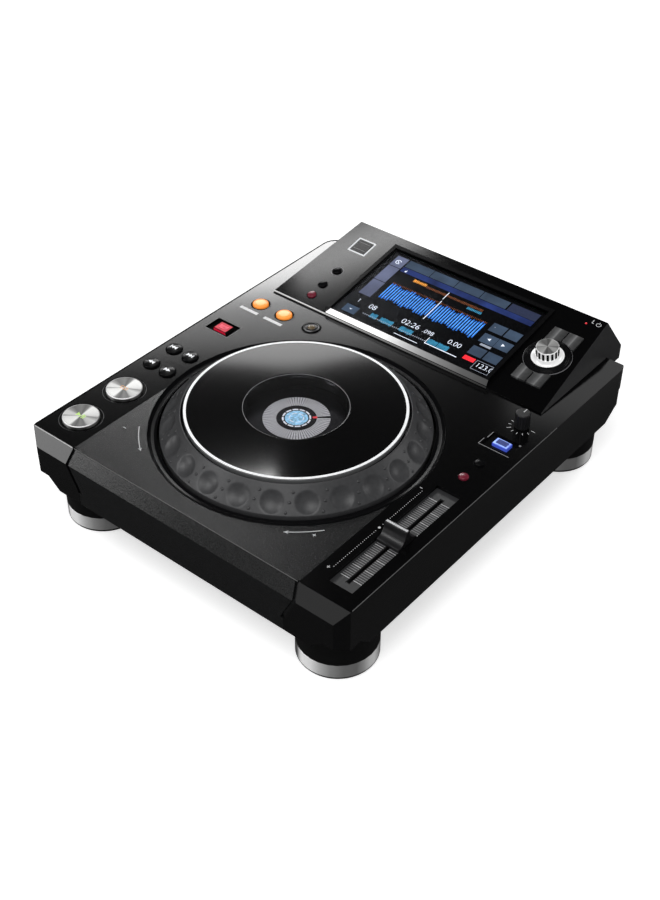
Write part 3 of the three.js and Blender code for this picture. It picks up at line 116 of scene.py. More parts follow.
def plate_place(node):
    """The place of a node on the control plate, square to the plate."""
    local = PLATE.inverted() @ (middle(node) * MM) / MM
    return on_plate(local.x, local.y)


# Camera, light and floor

# The photograph's camera
IMAGE_HEIGHT = 900
FOCAL_PIXELS = 1360.75
CAMERA_METRES = Vector((0.52792, -0.66677, 0.71886))
CAMERA_TURNS = ((39.2310, "Z"), (90 - 39.3581, "X"), (0.2347, "Z"))
CLIP_START_METRES = 0.01
# Soft boxes: name, azimuth, elevation, width and height in metres, watts. Azimuth 0 is behind the object
# and 90 at its left.
LIGHTS = (
    ("rear_left_box", 45, 30.3, 1.4, 0.23, 19),
    ("rear_left_fade_box", 45, 34.2, 1.4, 0.15, 2.0),
    ("rear_box", 22, 36, 0.4, 0.3, 0.5),
    ("left_box", 49.8, 46.25, 0.41, 0.115, 1.75),
    ("front_fade_box", 159, 8, 0.7, 0.5, 1.5),
    ("front_left_box", 134, 9, 1.15, 0.5, 12.3),
    ("front_left_high_box", 140, 42, 0.8, 0.9, 20),
    ("rear_right_box", -43, 20, 0.9, 0.7, 9),
    ("top_box", 200, 62, 1.6, 1.6, 36),
)
# The one soft box that also lights matt surfaces; the others show only in gloss
MATT_LIGHT = "top_box"
LIGHT_DISTANCE_METRES = 3.0
WORLD_FOR_MATT = 0.45
WORLD_FOR_GLOSS = 0.02
FLOOR_HALF = 8000
FLOOR_TONE = 0.86
FLOOR_FOR_GLOSS = 0.10
FLOOR_LIFT = 0.59


def turn(degrees, axis):
    return Matrix.Rotation(math.radians(degrees), 4, axis)


def link(thing):
    bpy.context.scene.collection.objects.link(thing)
    return thing


def make_camera():
    data = bpy.data.cameras.new("camera")
    data.lens = FOCAL_PIXELS / IMAGE_HEIGHT * data.sensor_width
    data.clip_start = CLIP_START_METRES
    camera = link(bpy.data.objects.new("camera", data))
    around, up, roll = [turn(*step) for step in CAMERA_TURNS]
    camera.matrix_world = Matrix.Translation(CAMERA_METRES) @ (around @ up @ roll)
    bpy.context.scene.camera = camera


def make_light(name, azimuth, elevation, width, height, power):
    """A soft box that faces the object."""
    data = bpy.data.lights.new(name, "AREA")
    data.shape = "RECTANGLE"
    data.size = width
    data.size_y = height
    data.energy = power
    around, up = math.radians(azimuth), math.radians(elevation)
    way = Vector((-math.sin(around) * math.cos(up), math.cos(around) * math.cos(up), math.sin(up)))
    light = link(bpy.data.objects.new(name, data))
    facing = way.to_track_quat("Z", "Y").to_matrix().to_4x4()
    light.matrix_world = Matrix.Translation(way * LIGHT_DISTANCE_METRES) @ facing
    light.visible_diffuse = name == MATT_LIGHT


def feed(tree, target, wires, values):
    """Sets a shader node's inputs: wires from nodes or their outputs, values as numbers."""
    for key, value in values.items():
        target.inputs[key].default_value = value
    for key, source in wires.items():
        tree.links.new(source.outputs[0] if hasattr(source, "outputs") else source, target.inputs[key])


def add(tree, kind, wires=None, values=None, **fields):
    made = tree.nodes.new(f"ShaderNode{kind}")
    for key, value in fields.items():
        setattr(made, key, value)
    feed(tree, made, wires or {}, values or {})
    return made


def blank_tree(owner):
    owner.use_nodes = True
    owner.node_tree.nodes.clear()
    return owner.node_tree


def grey(tone):
    return tone, tone, tone, 1


def seen_directly(tree, rays):
    """1 for rays from the camera, also through clear covers."""
    return add(
        tree, "Math", {0: rays["Is Camera Ray"], 1: rays["Is Transmission Ray"]}, operation="MAXIMUM",
    )


def make_world():
    """White to the camera, mid grey to matt surfaces and dim to shiny ones."""
    world = bpy.data.worlds.new("studio")
    bpy.context.scene.world = world
    tree = blank_tree(world)
    rays = add(tree, "LightPath").outputs
    painted_tones = {"Color1": grey(WORLD_FOR_GLOSS), "Color2": grey(WORLD_FOR_MATT)}
    matt = add(tree, "MixRGB", {"Fac": rays["Is Diffuse Ray"]}, painted_tones)
    shown = add(tree, "MixRGB", {"Fac": seen_directly(tree, rays), "Color1": matt}, {"Color2": grey(1)})
    add(tree, "OutputWorld", {"Surface": add(tree, "Background", {"Color": shown})})


def make_floor():
    corners = [(x, y, 0) for x, y in rectangle(-FLOOR_HALF, FLOOR_HALF, -FLOOR_HALF, FLOOR_HALF)]
    floor = new_piece("floor", corners, [(0, 1, 2, 3)])
    made = bpy.data.materials.new("floor")
    tree = blank_tree(made)
    rays = add(tree, "LightPath").outputs
    lift = add(tree, "Math", {0: seen_directly(tree, rays)}, {1: FLOOR_LIFT}, operation="MULTIPLY")
    glow = add(tree, "Emission", {"Strength": lift}, {"Color": grey(1)})
    matt = add(tree, "BsdfDiffuse", values={"Color": grey(FLOOR_TONE)})
    white = add(tree, "AddShader", {0: matt, 1: glow})
    dim = add(tree, "BsdfDiffuse", values={"Color": grey(FLOOR_FOR_GLOSS)})
    both = add(tree, "MixShader", {"Fac": rays["Is Glossy Ray"], 1: white, 2: dim})
    add(tree, "OutputMaterial", {"Surface": both})
    floor.data.materials.append(made)


def make_studio():
    make_camera()
    make_world()
    for light in LIGHTS:
        make_light(*light)
    make_floor()
    bpy.context.scene.view_settings.view_transform = "Standard"


# Meshes

TRIANGLE = [(-0.45, -0.5), (0.45, 0), (-0.45, 0.5)]
BAR = [(-0.1, -0.5), (0.1, -0.5), (0.1, 0.5), (-0.1, 0.5)]


def new_piece(name, verts, faces, place=None):
    mesh = bpy.data.meshes.new(name)
    mesh.from_pydata([Vector(v) * MM for v in verts], [], faces)
    if place is not None:
        mesh.transform(place)
    work = bmesh.new()
    work.from_mesh(mesh)
    bmesh.ops.recalc_face_normals(work, faces=work.faces)
    work.to_mesh(mesh)
    work.free()
    return link(bpy.data.objects.new(name, mesh))


def final_mesh(piece):
    """The piece's mesh with its modifiers or its curve worked out."""
    bpy.context.view_layer.update()
    return bpy.data.meshes.new_from_object(piece.evaluated_get(bpy.context.evaluated_depsgraph_get()))


def smooth(piece, angle=35):
    piece.data.polygons.foreach_set("use_smooth", [True] * len(piece.data.polygons))
    piece.data.set_sharp_from_angle(angle=math.radians(angle))
    return piece


def bevelled(piece, width, segments=2, angle=30):
    """Rounds the piece's edges, keeps its flats flat and keeps the result as its mesh."""
    smooth(piece, angle)
    bevel = piece.modifiers.new("edges", "BEVEL")
    bevel.width = width * MM
    bevel.segments = segments
    bevel.limit_method = "ANGLE"
    bevel.angle_limit = math.radians(angle)
    bevel.harden_normals = True
    mesh = final_mesh(piece)
    piece.modifiers.clear()
    piece.data = mesh
    return piece


def wear(piece, node, used, replace=False):
    """Gives a piece its material and a node's body; it may also stand for the node."""
    piece.data.materials.clear()
    piece.data.materials.append(used)
    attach(piece, BODY[node])
    if replace:
        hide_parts(node)
    return piece


def stand_for(piece, node, used):
    return wear(piece, node, used, replace=True)


def dressed(node, used, edge=0.0, segments=2):
    """The node's own shape with its triangles merged and its edges rounded."""
    same_spot = 0.002
    same_plane = 0.5
    work = bmesh.new()
    work.from_mesh(frame["nodes"][node].data)
    bmesh.ops.remove_doubles(work, verts=work.verts, dist=same_spot * MM)
    bmesh.ops.dissolve_limit(
        work, angle_limit=math.radians(same_plane), verts=work.verts, edges=work.edges,
    )
    verts = [v.co / MM for v in work.verts]
    faces = [[v.index for v in face.verts] for face in work.faces]
    work.free()
    piece = new_piece(f"{node}_skin", verts, faces)
    return stand_for(bevelled(piece, edge, segments) if edge else smooth(piece, 30), node, used)


def painted(node, used):
    """A node that is shown as it is, with its own material."""
    materials = frame["nodes"][node].data.materials
    if materials:
        materials[0] = used
    else:
        materials.append(used)


def filleted(profile, radius, steps=3, closed=False):
    """The profile with its corners rounded."""
    most = 0.45
    points = [Vector(p) for p in profile]
    count = len(points)
    result = []
    for i, corner in enumerate(points):
        if not closed and i in (0, count - 1):
            result.append(corner)
            continue
        before = points[i - 1] - corner
        after = points[(i + 1) % count] - corner
        reach = min(radius, before.length * most, after.length * most)
        start = corner + before.normalized() * reach
        end = corner + after.normalized() * reach
        for step in range(steps + 1):
            share = step / steps
            bend = corner * 2 * share * (1 - share)
            result.append(start * (1 - share) ** 2 + bend + end * share ** 2)
    return result


def held(profile, closed, hold=0.08):
    """The profile with a point close to each end of its straights, so that flats stay flat."""
    points = [Vector(p) for p in profile]
    result = []
    for i, point in enumerate(points):
        result.append(point)
        if i == len(points) - 1 and not closed:
            break
        after = points[(i + 1) % len(points)]
        along = after - point
        if along.length > 6 * hold:
            step = along.normalized() * hold
            result += [point + step, after - step]
    return result


def on_circle(radius, angle):
    return radius * math.cos(angle), radius * math.sin(angle)


def turned(name, profile, steps, place=None, closed=False, shift=None):
    """A solid turned about Z from (radius, height) points; shift may move each point."""
    rows = []
    verts = []
    for radius, height in profile if shift else held(profile, closed):
        if radius < 1e-6:
            rows.append([len(verts)] * steps)
            verts.append(Vector((0, 0, height)))
            continue
        rows.append(list(range(len(verts), len(verts) + steps)))
        for step in range(steps):
            angle = 2 * math.pi * step / steps
            r, z = shift(angle, radius, height) if shift else (radius, height)
            verts.append(Vector((*on_circle(r, angle), z)))
    faces = []
    for inner, outer in list(zip(rows, rows[1:])) + ([(rows[-1], rows[0])] if closed else []):
        for step in range(steps):
            after = (step + 1) % steps
            unique = list(dict.fromkeys([inner[step], inner[after], outer[after], outer[step]]))
            if len(unique) > 2:
                faces.append(unique)
    return smooth(new_piece(name, verts, faces, place))


def ring(name, node, used, inner, outer, z0, z1, edge, steps, place):
    profile = filleted(rectangle(inner, outer, z0, z1), edge, closed=True)
    return wear(turned(name, profile, steps, place, closed=True), node, used)


def button(name, radius, z0, z1, crown, edge, steps, place):
    """A round cap with a rolled edge and a slightly domed top."""
    rolled = crown * 0.7
    domed = crown * 0.3
    profile = [(0, z0), (radius, z0), (radius, z1 - crown)]
    rows = 5
    for row in range(1, rows + 1):
        angle = math.pi / 2 * row / rows
        profile.append((radius - edge * (1 - math.cos(angle)), z1 - crown + rolled * math.sin(angle)))
    dome = radius - edge
    for row in range(1, rows + 1):
        share = row / rows
        profile.append((dome * (1 - share), z1 - domed * (1 - share) ** 2))
    return turned(name, profile, steps, place)


def merge(parts):
    """One mesh from several verts-and-faces pairs."""
    verts = []
    faces = []
    for part_verts, part_faces in parts:
        start = len(verts)
        verts.extend(part_verts)
        faces.extend([[i + start for i in face] for face in part_faces])
    return verts, faces


def bridged(verts, count, way=1):
    """Adds faces between two equal outlines of count points and over both ends; way -1 turns the ends over."""
    faces = [list(range(count))[::-way], list(range(count, 2 * count))[::way]]
    for i in range(count):
        after = (i + 1) % count
        faces.append([i, after, after + count, i + count])
    return verts, faces


def slab(outline, z0, z1):
    """Verts and faces of an outline made into a thin solid."""
    return bridged([(x, y, z) for z in (z0, z1) for x, y in outline], len(outline))


def rectangle(x0, x1, y0, y1):
    return [(x0, y0), (x1, y0), (x1, y1), (x0, y1)]


def box(x0, x1, y0, y1, z0, z1):
    return slab(rectangle(x0, x1, y0, y1), z0, z1)


def arc(radius, start, end, steps):
    """Points along an arc, in degrees."""
    return [on_circle(radius, math.radians(start + (end - start) * i / steps)) for i in range(steps + 1)]


def dot(radius, x=0.0, y=0.0):
    """A small round mark."""
    return moved(arc(radius, 0, 330, 11), x, y)


def band(inner, outer, start, end, steps=8):
    """The outline of a stretch of a flat ring."""
    return arc(outer, start, end, steps) + arc(inner, end, start, steps)


def moved(outline, x, y, degrees=0.0, size=1.0):
    c = math.cos(math.radians(degrees)) * size
    s = math.sin(math.radians(degrees)) * size
    return [(x + c * px - s * py, y + s * px + c * py) for px, py in outline]


def frame_outlines(x0, x1, y0, y1, width):
    """A hollow rectangle as four bars."""
    return [
        rectangle(x0, x1, y0, y0 + width),
        rectangle(x0, x1, y1 - width, y1),
        rectangle(x0, x0 + width, y0 + width, y1 - width),
        rectangle(x1 - width, x1, y0 + width, y1 - width),
    ]


def prints(name, node, used, outlines, z, place, thickness=PRINT_THICKNESS):
    """Flat printed marks: thin closed solids that lie on a surface."""
    parts = [slab(outline, z - thickness / 2, z + thickness) for outline in outlines]
    return wear(new_piece(name, *merge(parts), place), node, used)


def deck_prints(name, used, outlines, place, rise=PRINT_RISE, thickness=PRINT_THICKNESS):
    return prints(name, "top_case", used, outlines, DECK + rise, place, thickness)


# Materials

COLOUR_STOPS = (0.3, 0.7)
LEAST_ROUGH = 0.02
COAT_ROUGH = 0.08
BUMP_METRES = 0.0002
COVER_SMEAR = 0.01
COVER_IOR = 1.3


def matter(
    name, color, rough, metal=0.0, specular=0.5, spread=0.10, grain=350.0, rough_spread=0.05,
    bump=0.0, bump_grain=900.0, stretch=(1, 1, 1), coat=0.0, glow=0.0, around=0.0, across=0.0,
    painted_tones=(), tone_kind="RADIAL",
):
    """A material whose colour, roughness and relief vary with noise in the object's own space; painted tones,
    where given, paint light and shade into its colour.
    """
    made = bpy.data.materials.new(name)
    made.use_nodes = True
    tree = made.node_tree
    shader = tree.nodes["Principled BSDF"]
    coordinates = add(tree, "TexCoord").outputs
    mapping = add(tree, "Mapping", {"Vector": coordinates["Object"]}, {"Scale": stretch})
    noise = add(tree, "TexNoise", {"Vector": mapping}, {"Scale": grain, "Detail": 5.0}).outputs["Fac"]
    shade = add(tree, "ValToRGB", {"Fac": noise})
    for stop, share, change in zip(shade.color_ramp.elements, COLOUR_STOPS, (-spread, spread)):
        stop.position = share
        stop.color = [min(1, c * (1 + change)) for c in color] + [1]
    # Painted highlights, reflections and shade: tones multiplied into the colour
    if painted_tones:
        shade = with_painted_light(tree, coordinates["Generated"], shade, painted_tones, tone_kind)
    span = {"To Min": max(LEAST_ROUGH, rough - rough_spread), "To Max": rough + rough_spread}
    wires = {"Base Color": shade, "Roughness": add(tree, "MapRange", {"Value": noise}, span)}
    values = {
        "Metallic": metal, "Specular IOR Level": specular, "Coat Weight": coat,
        "Coat Roughness": COAT_ROUGH,
    }
    if bump:
        grains = {"Scale": bump_grain, "Detail": 2.0}
        relief = add(tree, "TexNoise", {"Vector": mapping}, grains).outputs["Fac"]
        wires["Normal"] = add(
            tree, "Bump", {"Height": relief}, {"Strength": bump, "Distance": BUMP_METRES},
        )
    if glow:
        wires["Emission Color"] = shade
        values["Emission Strength"] = glow
    if around:
        values.update({"Anisotropic": around, "Anisotropic Rotation": across})
        wires["Tangent"] = add(tree, "Tangent", direction_type="RADIAL", axis="Z")
    feed(tree, shader, wires, values)
    return made


def with_painted_light(tree, generated, color, painted_tones, kind):
    """Multiplies a colour by painted tones of light and shade: RADIAL goes round the piece's own middle, LINEAR
    along its X.
    """
    centre = (-0.5, -0.5, 0) if kind == "RADIAL" else (0, 0, 0)
    centred = add(tree, "Mapping", {"Vector": generated}, {"Location": centre})
    share_along = add(tree, "TexGradient", {"Vector": centred}, gradient_type=kind).outputs["Fac"]
    scale = add(tree, "ValToRGB", {"Fac": share_along})
    stops = scale.color_ramp.elements
    stops.remove(stops[1])
    for i, (share, tone) in enumerate(painted_tones):
        stop = stops.new(share) if i else stops[0]
        stop.position = share
        stop.color = grey(tone)
    return add(tree, "MixRGB", {"Color1": color, "Color2": scale}, {"Fac": 1.0}, blend_type="MULTIPLY")


def clear_matter(name, tint, sheen_tone, rough):
    """A thin clear cover: see-through, with a mirror sheen that grows towards its edge."""
    made = bpy.data.materials.new(name)
    tree = blank_tree(made)
    smear = add(tree, "TexNoise", {"Vector": add(tree, "TexCoord").outputs["Object"]}, {"Scale": 40.0})
    span = {"To Min": rough - COVER_SMEAR, "To Max": rough + COVER_SMEAR}
    polish = add(tree, "MapRange", {"Value": smear.outputs["Fac"]}, span)
    through = add(tree, "BsdfTransparent", values={"Color": (*tint, 1)})
    sheen = add(tree, "BsdfGlossy", {"Roughness": polish}, {"Color": grey(sheen_tone)})
    edge = add(tree, "Fresnel", values={"IOR": COVER_IOR})
    back = add(tree, "NewGeometry").outputs["Backfacing"]
    outer = add(tree, "Math", {1: back}, {0: 1.0}, operation="SUBTRACT")
    share = add(tree, "Math", {0: edge, 1: outer}, operation="MULTIPLY")
    both = add(tree, "MixShader", {"Fac": share, 1: through, 2: sheen})
    add(tree, "OutputMaterial", {"Surface": both})
    return made


# Share of a turn and tone of the painted reflections on a spun face: bright and dark rays
SPUN_REFLECTION_TONES = (
    (0.0, 0.45), (0.03, 0.90), (0.085, 0.88), (0.105, 0.38), (0.125, 0.88), (0.26, 1.0), (0.29, 0.26),
    (0.33, 0.14), (0.37, 0.28), (0.42, 0.20), (0.45, 0.65), (0.52, 0.80), (0.575, 0.32), (0.60, 0.80),
    (0.76, 1.0), (0.79, 0.24), (0.83, 0.14), (0.87, 0.26), (0.95, 0.20), (1.0, 0.45),
)
# Share of a turn and tone of the painted highlight on the edge of a spun face
RIM_HIGHLIGHT_TONES = (
    (0.0, 0.5), (0.14, 0.6), (0.22, 1.0), (0.40, 1.0), (0.50, 0.6), (0.58, 0.25), (0.85, 0.25), (1.0, 0.5),
)
# Share of a turn and tone of the painted reflections on the brushed sides of a foot
FOOT_REFLECTION_TONES = (
    (0.0, 0.4), (0.10, 0.10), (0.165, 0.09), (0.20, 1.0), (0.25, 0.82), (0.29, 0.45), (0.33, 0.24),
    (0.38, 0.14), (0.43, 0.13), (0.46, 0.28), (0.49, 0.54), (0.52, 0.62), (0.55, 0.38), (0.59, 0.12),
    (0.66, 0.14), (0.74, 0.45), (1.0, 0.4),
)
# Share of a turn and tone of the hoop round the third loop button: painted highlights on two arcs, dark between
# them
HOOP_HIGHLIGHT_TONES = (
    (0.0, 0.04), (0.15, 0.06), (0.20, 0.7), (0.33, 0.7), (0.38, 0.08), (0.50, 0.08), (0.54, 0.6),
    (0.64, 0.6), (0.70, 0.06), (1.0, 0.04),
)
# Share of the length and tone of the painted highlight along the screen unit's front edge
PLATE_FRONT_HIGHLIGHT_TONES = (
    (0.0, 1.0), (0.25, 1.0), (0.35, 0.74), (0.44, 0.50), (0.53, 0.36), (0.62, 0.26), (0.71, 0.17),
    (0.80, 0.15), (0.89, 0.09), (1.0, 0.06),
)
# Share of a key's width and its tone: a painted highlight streak across the key
KEY_HIGHLIGHT_TONES = (
    (0.0, 0.14), (0.22, 0.18), (0.40, 0.32), (0.50, 0.55), (0.58, 0.22), (0.75, 0.14), (1.0, 0.10),
)
# Share of the strip's length and its tone: a painted reflection that fades along it
STRIP_REFLECTION_TONES = (
    (0.0, 1.0), (0.36, 0.98), (0.48, 0.56), (0.60, 0.31), (0.73, 0.18), (0.85, 0.10), (1.0, 0.06),
)
ALONG_KEY = {"painted_tones": KEY_HIGHLIGHT_TONES, "tone_kind": "LINEAR"}
ALONG_PLATE = {"painted_tones": PLATE_FRONT_HIGHLIGHT_TONES, "tone_kind": "LINEAR"}
ALONG_STRIP = {"painted_tones": STRIP_REFLECTION_TONES, "tone_kind": "LINEAR"}

# Black and grey plastic
CASE = matter("case_gloss", (0.0022, 0.0022, 0.0024), 0.105, specular=0.25, rough_spread=0.015)
PALM = matter(
    "palm_matt", (0.008, 0.0082, 0.0085), 0.19, specular=0.25, bump=0.4, bump_grain=1100, spread=0.4, grain=900,
)
GROOVE = matter("groove_black", (0.003, 0.003, 0.003), 0.7, specular=0.1)
PLAIN = matter("plain_black", (0.0036, 0.0036, 0.0038), 0.42, specular=0.25, bump=0.2)
DIAL = matter("dial_satin", (0.055, 0.0555, 0.058), 0.40, specular=0.4, bump=0.15, bump_grain=1800)
PLATTER = matter("platter_gloss", (0.0025, 0.0025, 0.0027), 0.07, specular=0.72, rough_spread=0.01)
BEZEL = matter("bezel_gloss", (0.004, 0.004, 0.0045), 0.22, specular=0.10)
RUBBER = matter("pad_rubber", (0.012, 0.012, 0.012), 0.85, specular=0.2, bump=0.4)
BUTTON = matter("button_black", (0.005, 0.005, 0.0055), 0.18, specular=0.07)
# Grey keys with a painted highlight streak across them
KEY = matter("key_grey", (0.40, 0.405, 0.41), 0.25, specular=0.3, **ALONG_KEY)
# Lighter black for the screen unit's right side: a painted sheen
HOUSING_SIDE_SHEEN = matter("housing_side_painted_sheen", (0.028, 0.028, 0.029), 0.4, specular=0.2)
HALO = matter("halo_dark", (0.035, 0.035, 0.037), 0.4)
DOOR = matter("door_dark", (0.02, 0.02, 0.021), 0.25, specular=0.4)
FADER = matter("fader_grey", (0.032, 0.0325, 0.034), 0.42, specular=0.4, bump=0.2, stretch=(1, 12, 1))
SLIDER = matter("slider_black", (0.012, 0.012, 0.013), 0.33, specular=0.4, bump=0.1)
HIDDEN = matter("hidden_black", (0.01, 0.01, 0.01), 0.6, specular=0.2)
SCREEN_BLACK = matter("screen_black", (0.003, 0.003, 0.0035), 0.22, specular=0.08)
PANEL = matter("panel_satin", (0.02, 0.02, 0.021), 0.45, specular=0.3, bump=0.25)
# Metal and bright trim
GREY_METAL = matter("wall_grey", (0.27, 0.275, 0.28), 0.3, metal=0.5, stretch=(1, 1, 40))
# Brushed silver for the feet, with painted reflections in its colour and a glow that paints extra light onto it
SILVER = matter(
    "foot_silver", (0.86, 0.86, 0.86), 0.4, metal=0.1, stretch=(1, 1, 60), spread=0.12, painted_tones=FOOT_REFLECTION_TONES,
    glow=0.3,
)
# Spun metal: anisotropic gloss, with bright and dark rays of painted reflection in its colour
SPUN = matter(
    "spun_silver_painted_reflections", (0.62, 0.62, 0.61), 0.40, metal=0.7, grain=900, spread=0.06, around=0.5, across=0.25,
    painted_tones=SPUN_REFLECTION_TONES,
)
# Chrome with a glow that paints extra light onto it
CHROME = matter("chrome", (0.93, 0.93, 0.93), 0.18, metal=0.25, spread=0.03, glow=0.3)
# Silver with a slight glow that paints extra light onto it
STRIP = matter("strip_silver", (0.72, 0.73, 0.74), 0.28, metal=0.9, stretch=(30, 1, 1), glow=0.12)
# The strip on the screen's slope: its brightness is a painted reflection, with a glow
BRIGHT_STRIP = matter(
    "strip_painted_reflection", (0.95, 0.95, 0.95), 0.6, specular=0.1, spread=0.03, glow=0.62, **ALONG_STRIP,
)
STEEL = matter("socket_steel", (0.5, 0.5, 0.51), 0.35, metal=1.0, stretch=(20, 1, 1))
HOOP = matter("hoop_painted_highlights", (0.40, 0.40, 0.41), 0.3, specular=0.3, painted_tones=HOOP_HIGHLIGHT_TONES)
# A glowing ring whose colour is a painted highlight on the edge of the play and cue discs
RIM_PAINTED_HIGHLIGHT = matter("rim_painted_highlight", (0.92, 0.92, 0.92), 0.3, specular=0.6, spread=0.03, painted_tones=RIM_HIGHLIGHT_TONES, glow=0.3)
# Painted highlights for the lines along the edges, glowing a little
EDGE_BRIGHT_HIGHLIGHT = matter("edge_bright_painted_highlight", (0.50, 0.50, 0.50), 0.4, glow=0.2)
EDGE_DIM_HIGHLIGHT = matter("edge_dim_painted_highlight", (0.075, 0.075, 0.075), 0.4, glow=0.05)
EDGE_PLATE = matter("edge_plate_painted_highlight", (0.46, 0.46, 0.46), 0.4, glow=0.55, **ALONG_PLATE)
# Colours, lamps and prints
WHITE_RING = matter("ring_white", (0.85, 0.86, 0.87), 0.3, glow=0.25)
RED_BUTTON = matter("button_red", (0.16, 0.012, 0.028), 0.25, specular=0.5, glow=0.15)
LEVER = matter("lever_red", (0.60, 0.012, 0.040), 0.35, specular=0.15, glow=0.35, spread=0.3, grain=250)
LEVER_LIT = matter("lever_lit", (0.80, 0.10, 0.15), 0.45, specular=0.1, glow=0.4, spread=0.35, grain=260)
ORANGE = matter("lit_orange", (0.95, 0.30, 0.045), 0.30, glow=0.5, spread=0.06)
ORANGE_CORE = matter("lit_orange_core", (0.95, 0.45, 0.13), 0.30, glow=0.5, spread=0.04)
BROWN = matter("dome_brown", (0.14, 0.095, 0.045), 0.20, specular=0.7, coat=0.5)
BLUE = matter("lit_blue", (0.05, 0.09, 0.55), 0.3, glow=0.5)
PALE_BLUE = matter("lit_pale_blue", (0.22, 0.33, 0.95), 0.3, glow=0.7, spread=0.5, grain=200)
NAVY = matter("lit_navy", (0.02, 0.04, 0.22), 0.3, glow=0.2)
LIT_WHITE = matter("lit_white", (0.80, 0.82, 0.84), 0.3, glow=0.3)
INK = matter("ink_white", (0.66, 0.67, 0.68), 0.5, glow=0.05)
INK_GREY = matter("ink_grey", (0.28, 0.28, 0.29), 0.5)
LABEL = matter("label_white", (0.80, 0.81, 0.82), 0.5, glow=0.12)
GREEN_ICON = matter("icon_green", (0.42, 0.66, 0.14), 0.4, glow=0.4)
ORANGE_ICON = matter("icon_orange", (0.72, 0.34, 0.12), 0.4, glow=0.3)
BOARD = matter("board_green", (0.02, 0.10, 0.04), 0.5, spread=0.3, bump=0.3)
# Clear covers and the jog display
GLASS = clear_matter("cover_clear", (0.92, 0.93, 0.95), 0.03, 0.16)
WINDOW = clear_matter("window_clear", (0.90, 0.90, 0.92), 0.7, 0.12)
DISPLAY_GREY = matter("display_grey", (0.42, 0.42, 0.42), 0.5, glow=0.5, spread=0.2, grain=900)
DISPLAY_DIM = matter("display_dim", (0.10, 0.10, 0.10), 0.5, glow=0.4)
DISPLAY_BLUE = matter("display_blue", (0.22, 0.45, 0.62), 0.5, glow=0.7, spread=0.5, grain=500)
DISPLAY_RED = matter("display_red", (0.60, 0.02, 0.03), 0.5, glow=0.7)
DISPLAY_WHITE = matter("display_white", (0.75, 0.77, 0.80), 0.5, glow=0.5)


# Case

BAND_RUN = 7.1
REAR_CORNER = 14
PALM_FLARE = 2.8
EDGE_INSET = 0.12
FOOT_WALL = 3.0
FOOT_HOLE = 4
PAD_LIP = 1.2
PAD_TOP = 6.2
PAD_CLEARANCE = 0.3


def case_pieces():
    dressed("top_case", CASE, 0.45)
    dressed("palm_rest", PALM, 0.45)
    housing = dressed("screen_housing", CASE, 0.7, 3)
    # The faces turned to the right get a lighter material: a painted sheen on that side
    housing.data.materials.append(HOUSING_SIDE_SHEEN)
    for face in housing.data.polygons:
        if face.normal.x > 0.5:
            face.material_index = 1
    for node, used in (("bottom_case", PLAIN), ("rear_panel", PANEL), ("jog_base", HIDDEN)):
        dressed(node, used)


def edge_line(name, start, end, used, width=0.55, node="top_case"):
    """A thin line along a straight edge of the case: used for painted highlights and for a dark edge line."""
    first = Vector(start)
    along = Vector(end) - first
    side = along.cross(Vector((0, 0, 1))).normalized()
    rise = side.cross(along).normalized()
    verts, faces = box(0, 1, -width / 2, width / 2, -width / 2, width / 2)
    wear(new_piece(name, [first + along * x + side * y + rise * z for x, y, z in verts], faces), node, used)


def edge_lines():
    """Painted highlights along the rounded edges of the deck and along the screen unit's front edge, and a dark
    line round the deck's rear left corner and left edge.
    """
    start = FRONT + BAND_RUN
    level = DECK - EDGE_INSET
    side = high("top_case").x - EDGE_INSET
    rear = high("top_case").y - EDGE_INSET
    palm = high("palm_rest").x - PALM_FLARE
    narrow = 0.45
    edge_line("edge_front_left", (-side + 1.2, start, level), (-palm - 1.2, start, level), EDGE_BRIGHT_HIGHLIGHT)
    edge_line("edge_palm", (-palm + 0.8, start, level), (palm - 0.8, start, level), EDGE_DIM_HIGHLIGHT, narrow)
    edge_line("edge_right", (side, start + 1.5, level), (side, FRONT + 255, level), EDGE_DIM_HIGHLIGHT, narrow)
    corner = [
        (x - side + REAR_CORNER, y + rear - REAR_CORNER, level) for x, y in arc(REAR_CORNER, 90, 180, 6)
    ]
    path = [(REAR_CORNER + 4 - side, rear, level), *corner, (-side, start + 1.5, level)]
    for i, (first, last) in enumerate(zip(path, path[1:])):
        edge_line(f"edge_left_{i}", first, last, GROOVE, 0.8)
    ends = [on_plate(x, 0.2, -0.1).to_translation() / MM for x in (-135.5, 84)]
    edge_line("edge_plate_painted_highlight", *ends, EDGE_PLATE, 0.9, "screen_housing")


def feet():
    for corner in ("front_left", "front_right", "rear_left", "rear_right"):
        cup = f"foot_{corner}"
        pad = f"pad_{corner}"
        place = over(cup)
        radius = half_width(cup)
        inside = radius - FOOT_WALL
        bottom = low(cup).z
        top = high(cup).z
        profile = [
            (FOOT_HOLE, top - 2), (inside, top - 2), (inside, bottom), (radius, bottom), (radius, top),
            (FOOT_HOLE, top),
        ]
        body = turned(f"{cup}_cup", filleted(profile, 0.6, closed=True), 128, place, closed=True)
        stand_for(body, cup, SILVER)
        lip = (radius - 1, radius + 0.02, bottom, bottom + 1.0)
        ring(f"{pad}_lip", pad, RUBBER, *lip, 0.1, WIDE_STEPS, place)
        sole = half_width(pad)
        plug = inside - PAD_CLEARANCE
        profile = [(0, 0), (sole, 0), (sole, PAD_LIP), (plug, PAD_LIP), (plug, PAD_TOP), (0, PAD_TOP)]
        stand_for(turned(f"{pad}_sole", filleted(profile, 0.4), WIDE_STEPS, place), pad, RUBBER)


# Jog assembly

DIAL_RIM = 103.0
DIAL_RIM_TOP = 83.9
DIAL_INNER = 87.0
DIAL_TOP = 99.9
DIAL_HUB = 14.5
DIMPLES = 24
DIMPLE_RADIUS = 8.65
DIMPLE_DEPTH = 2.2
DIMPLE_PLACE = 96.4
CONE_ROWS = 30
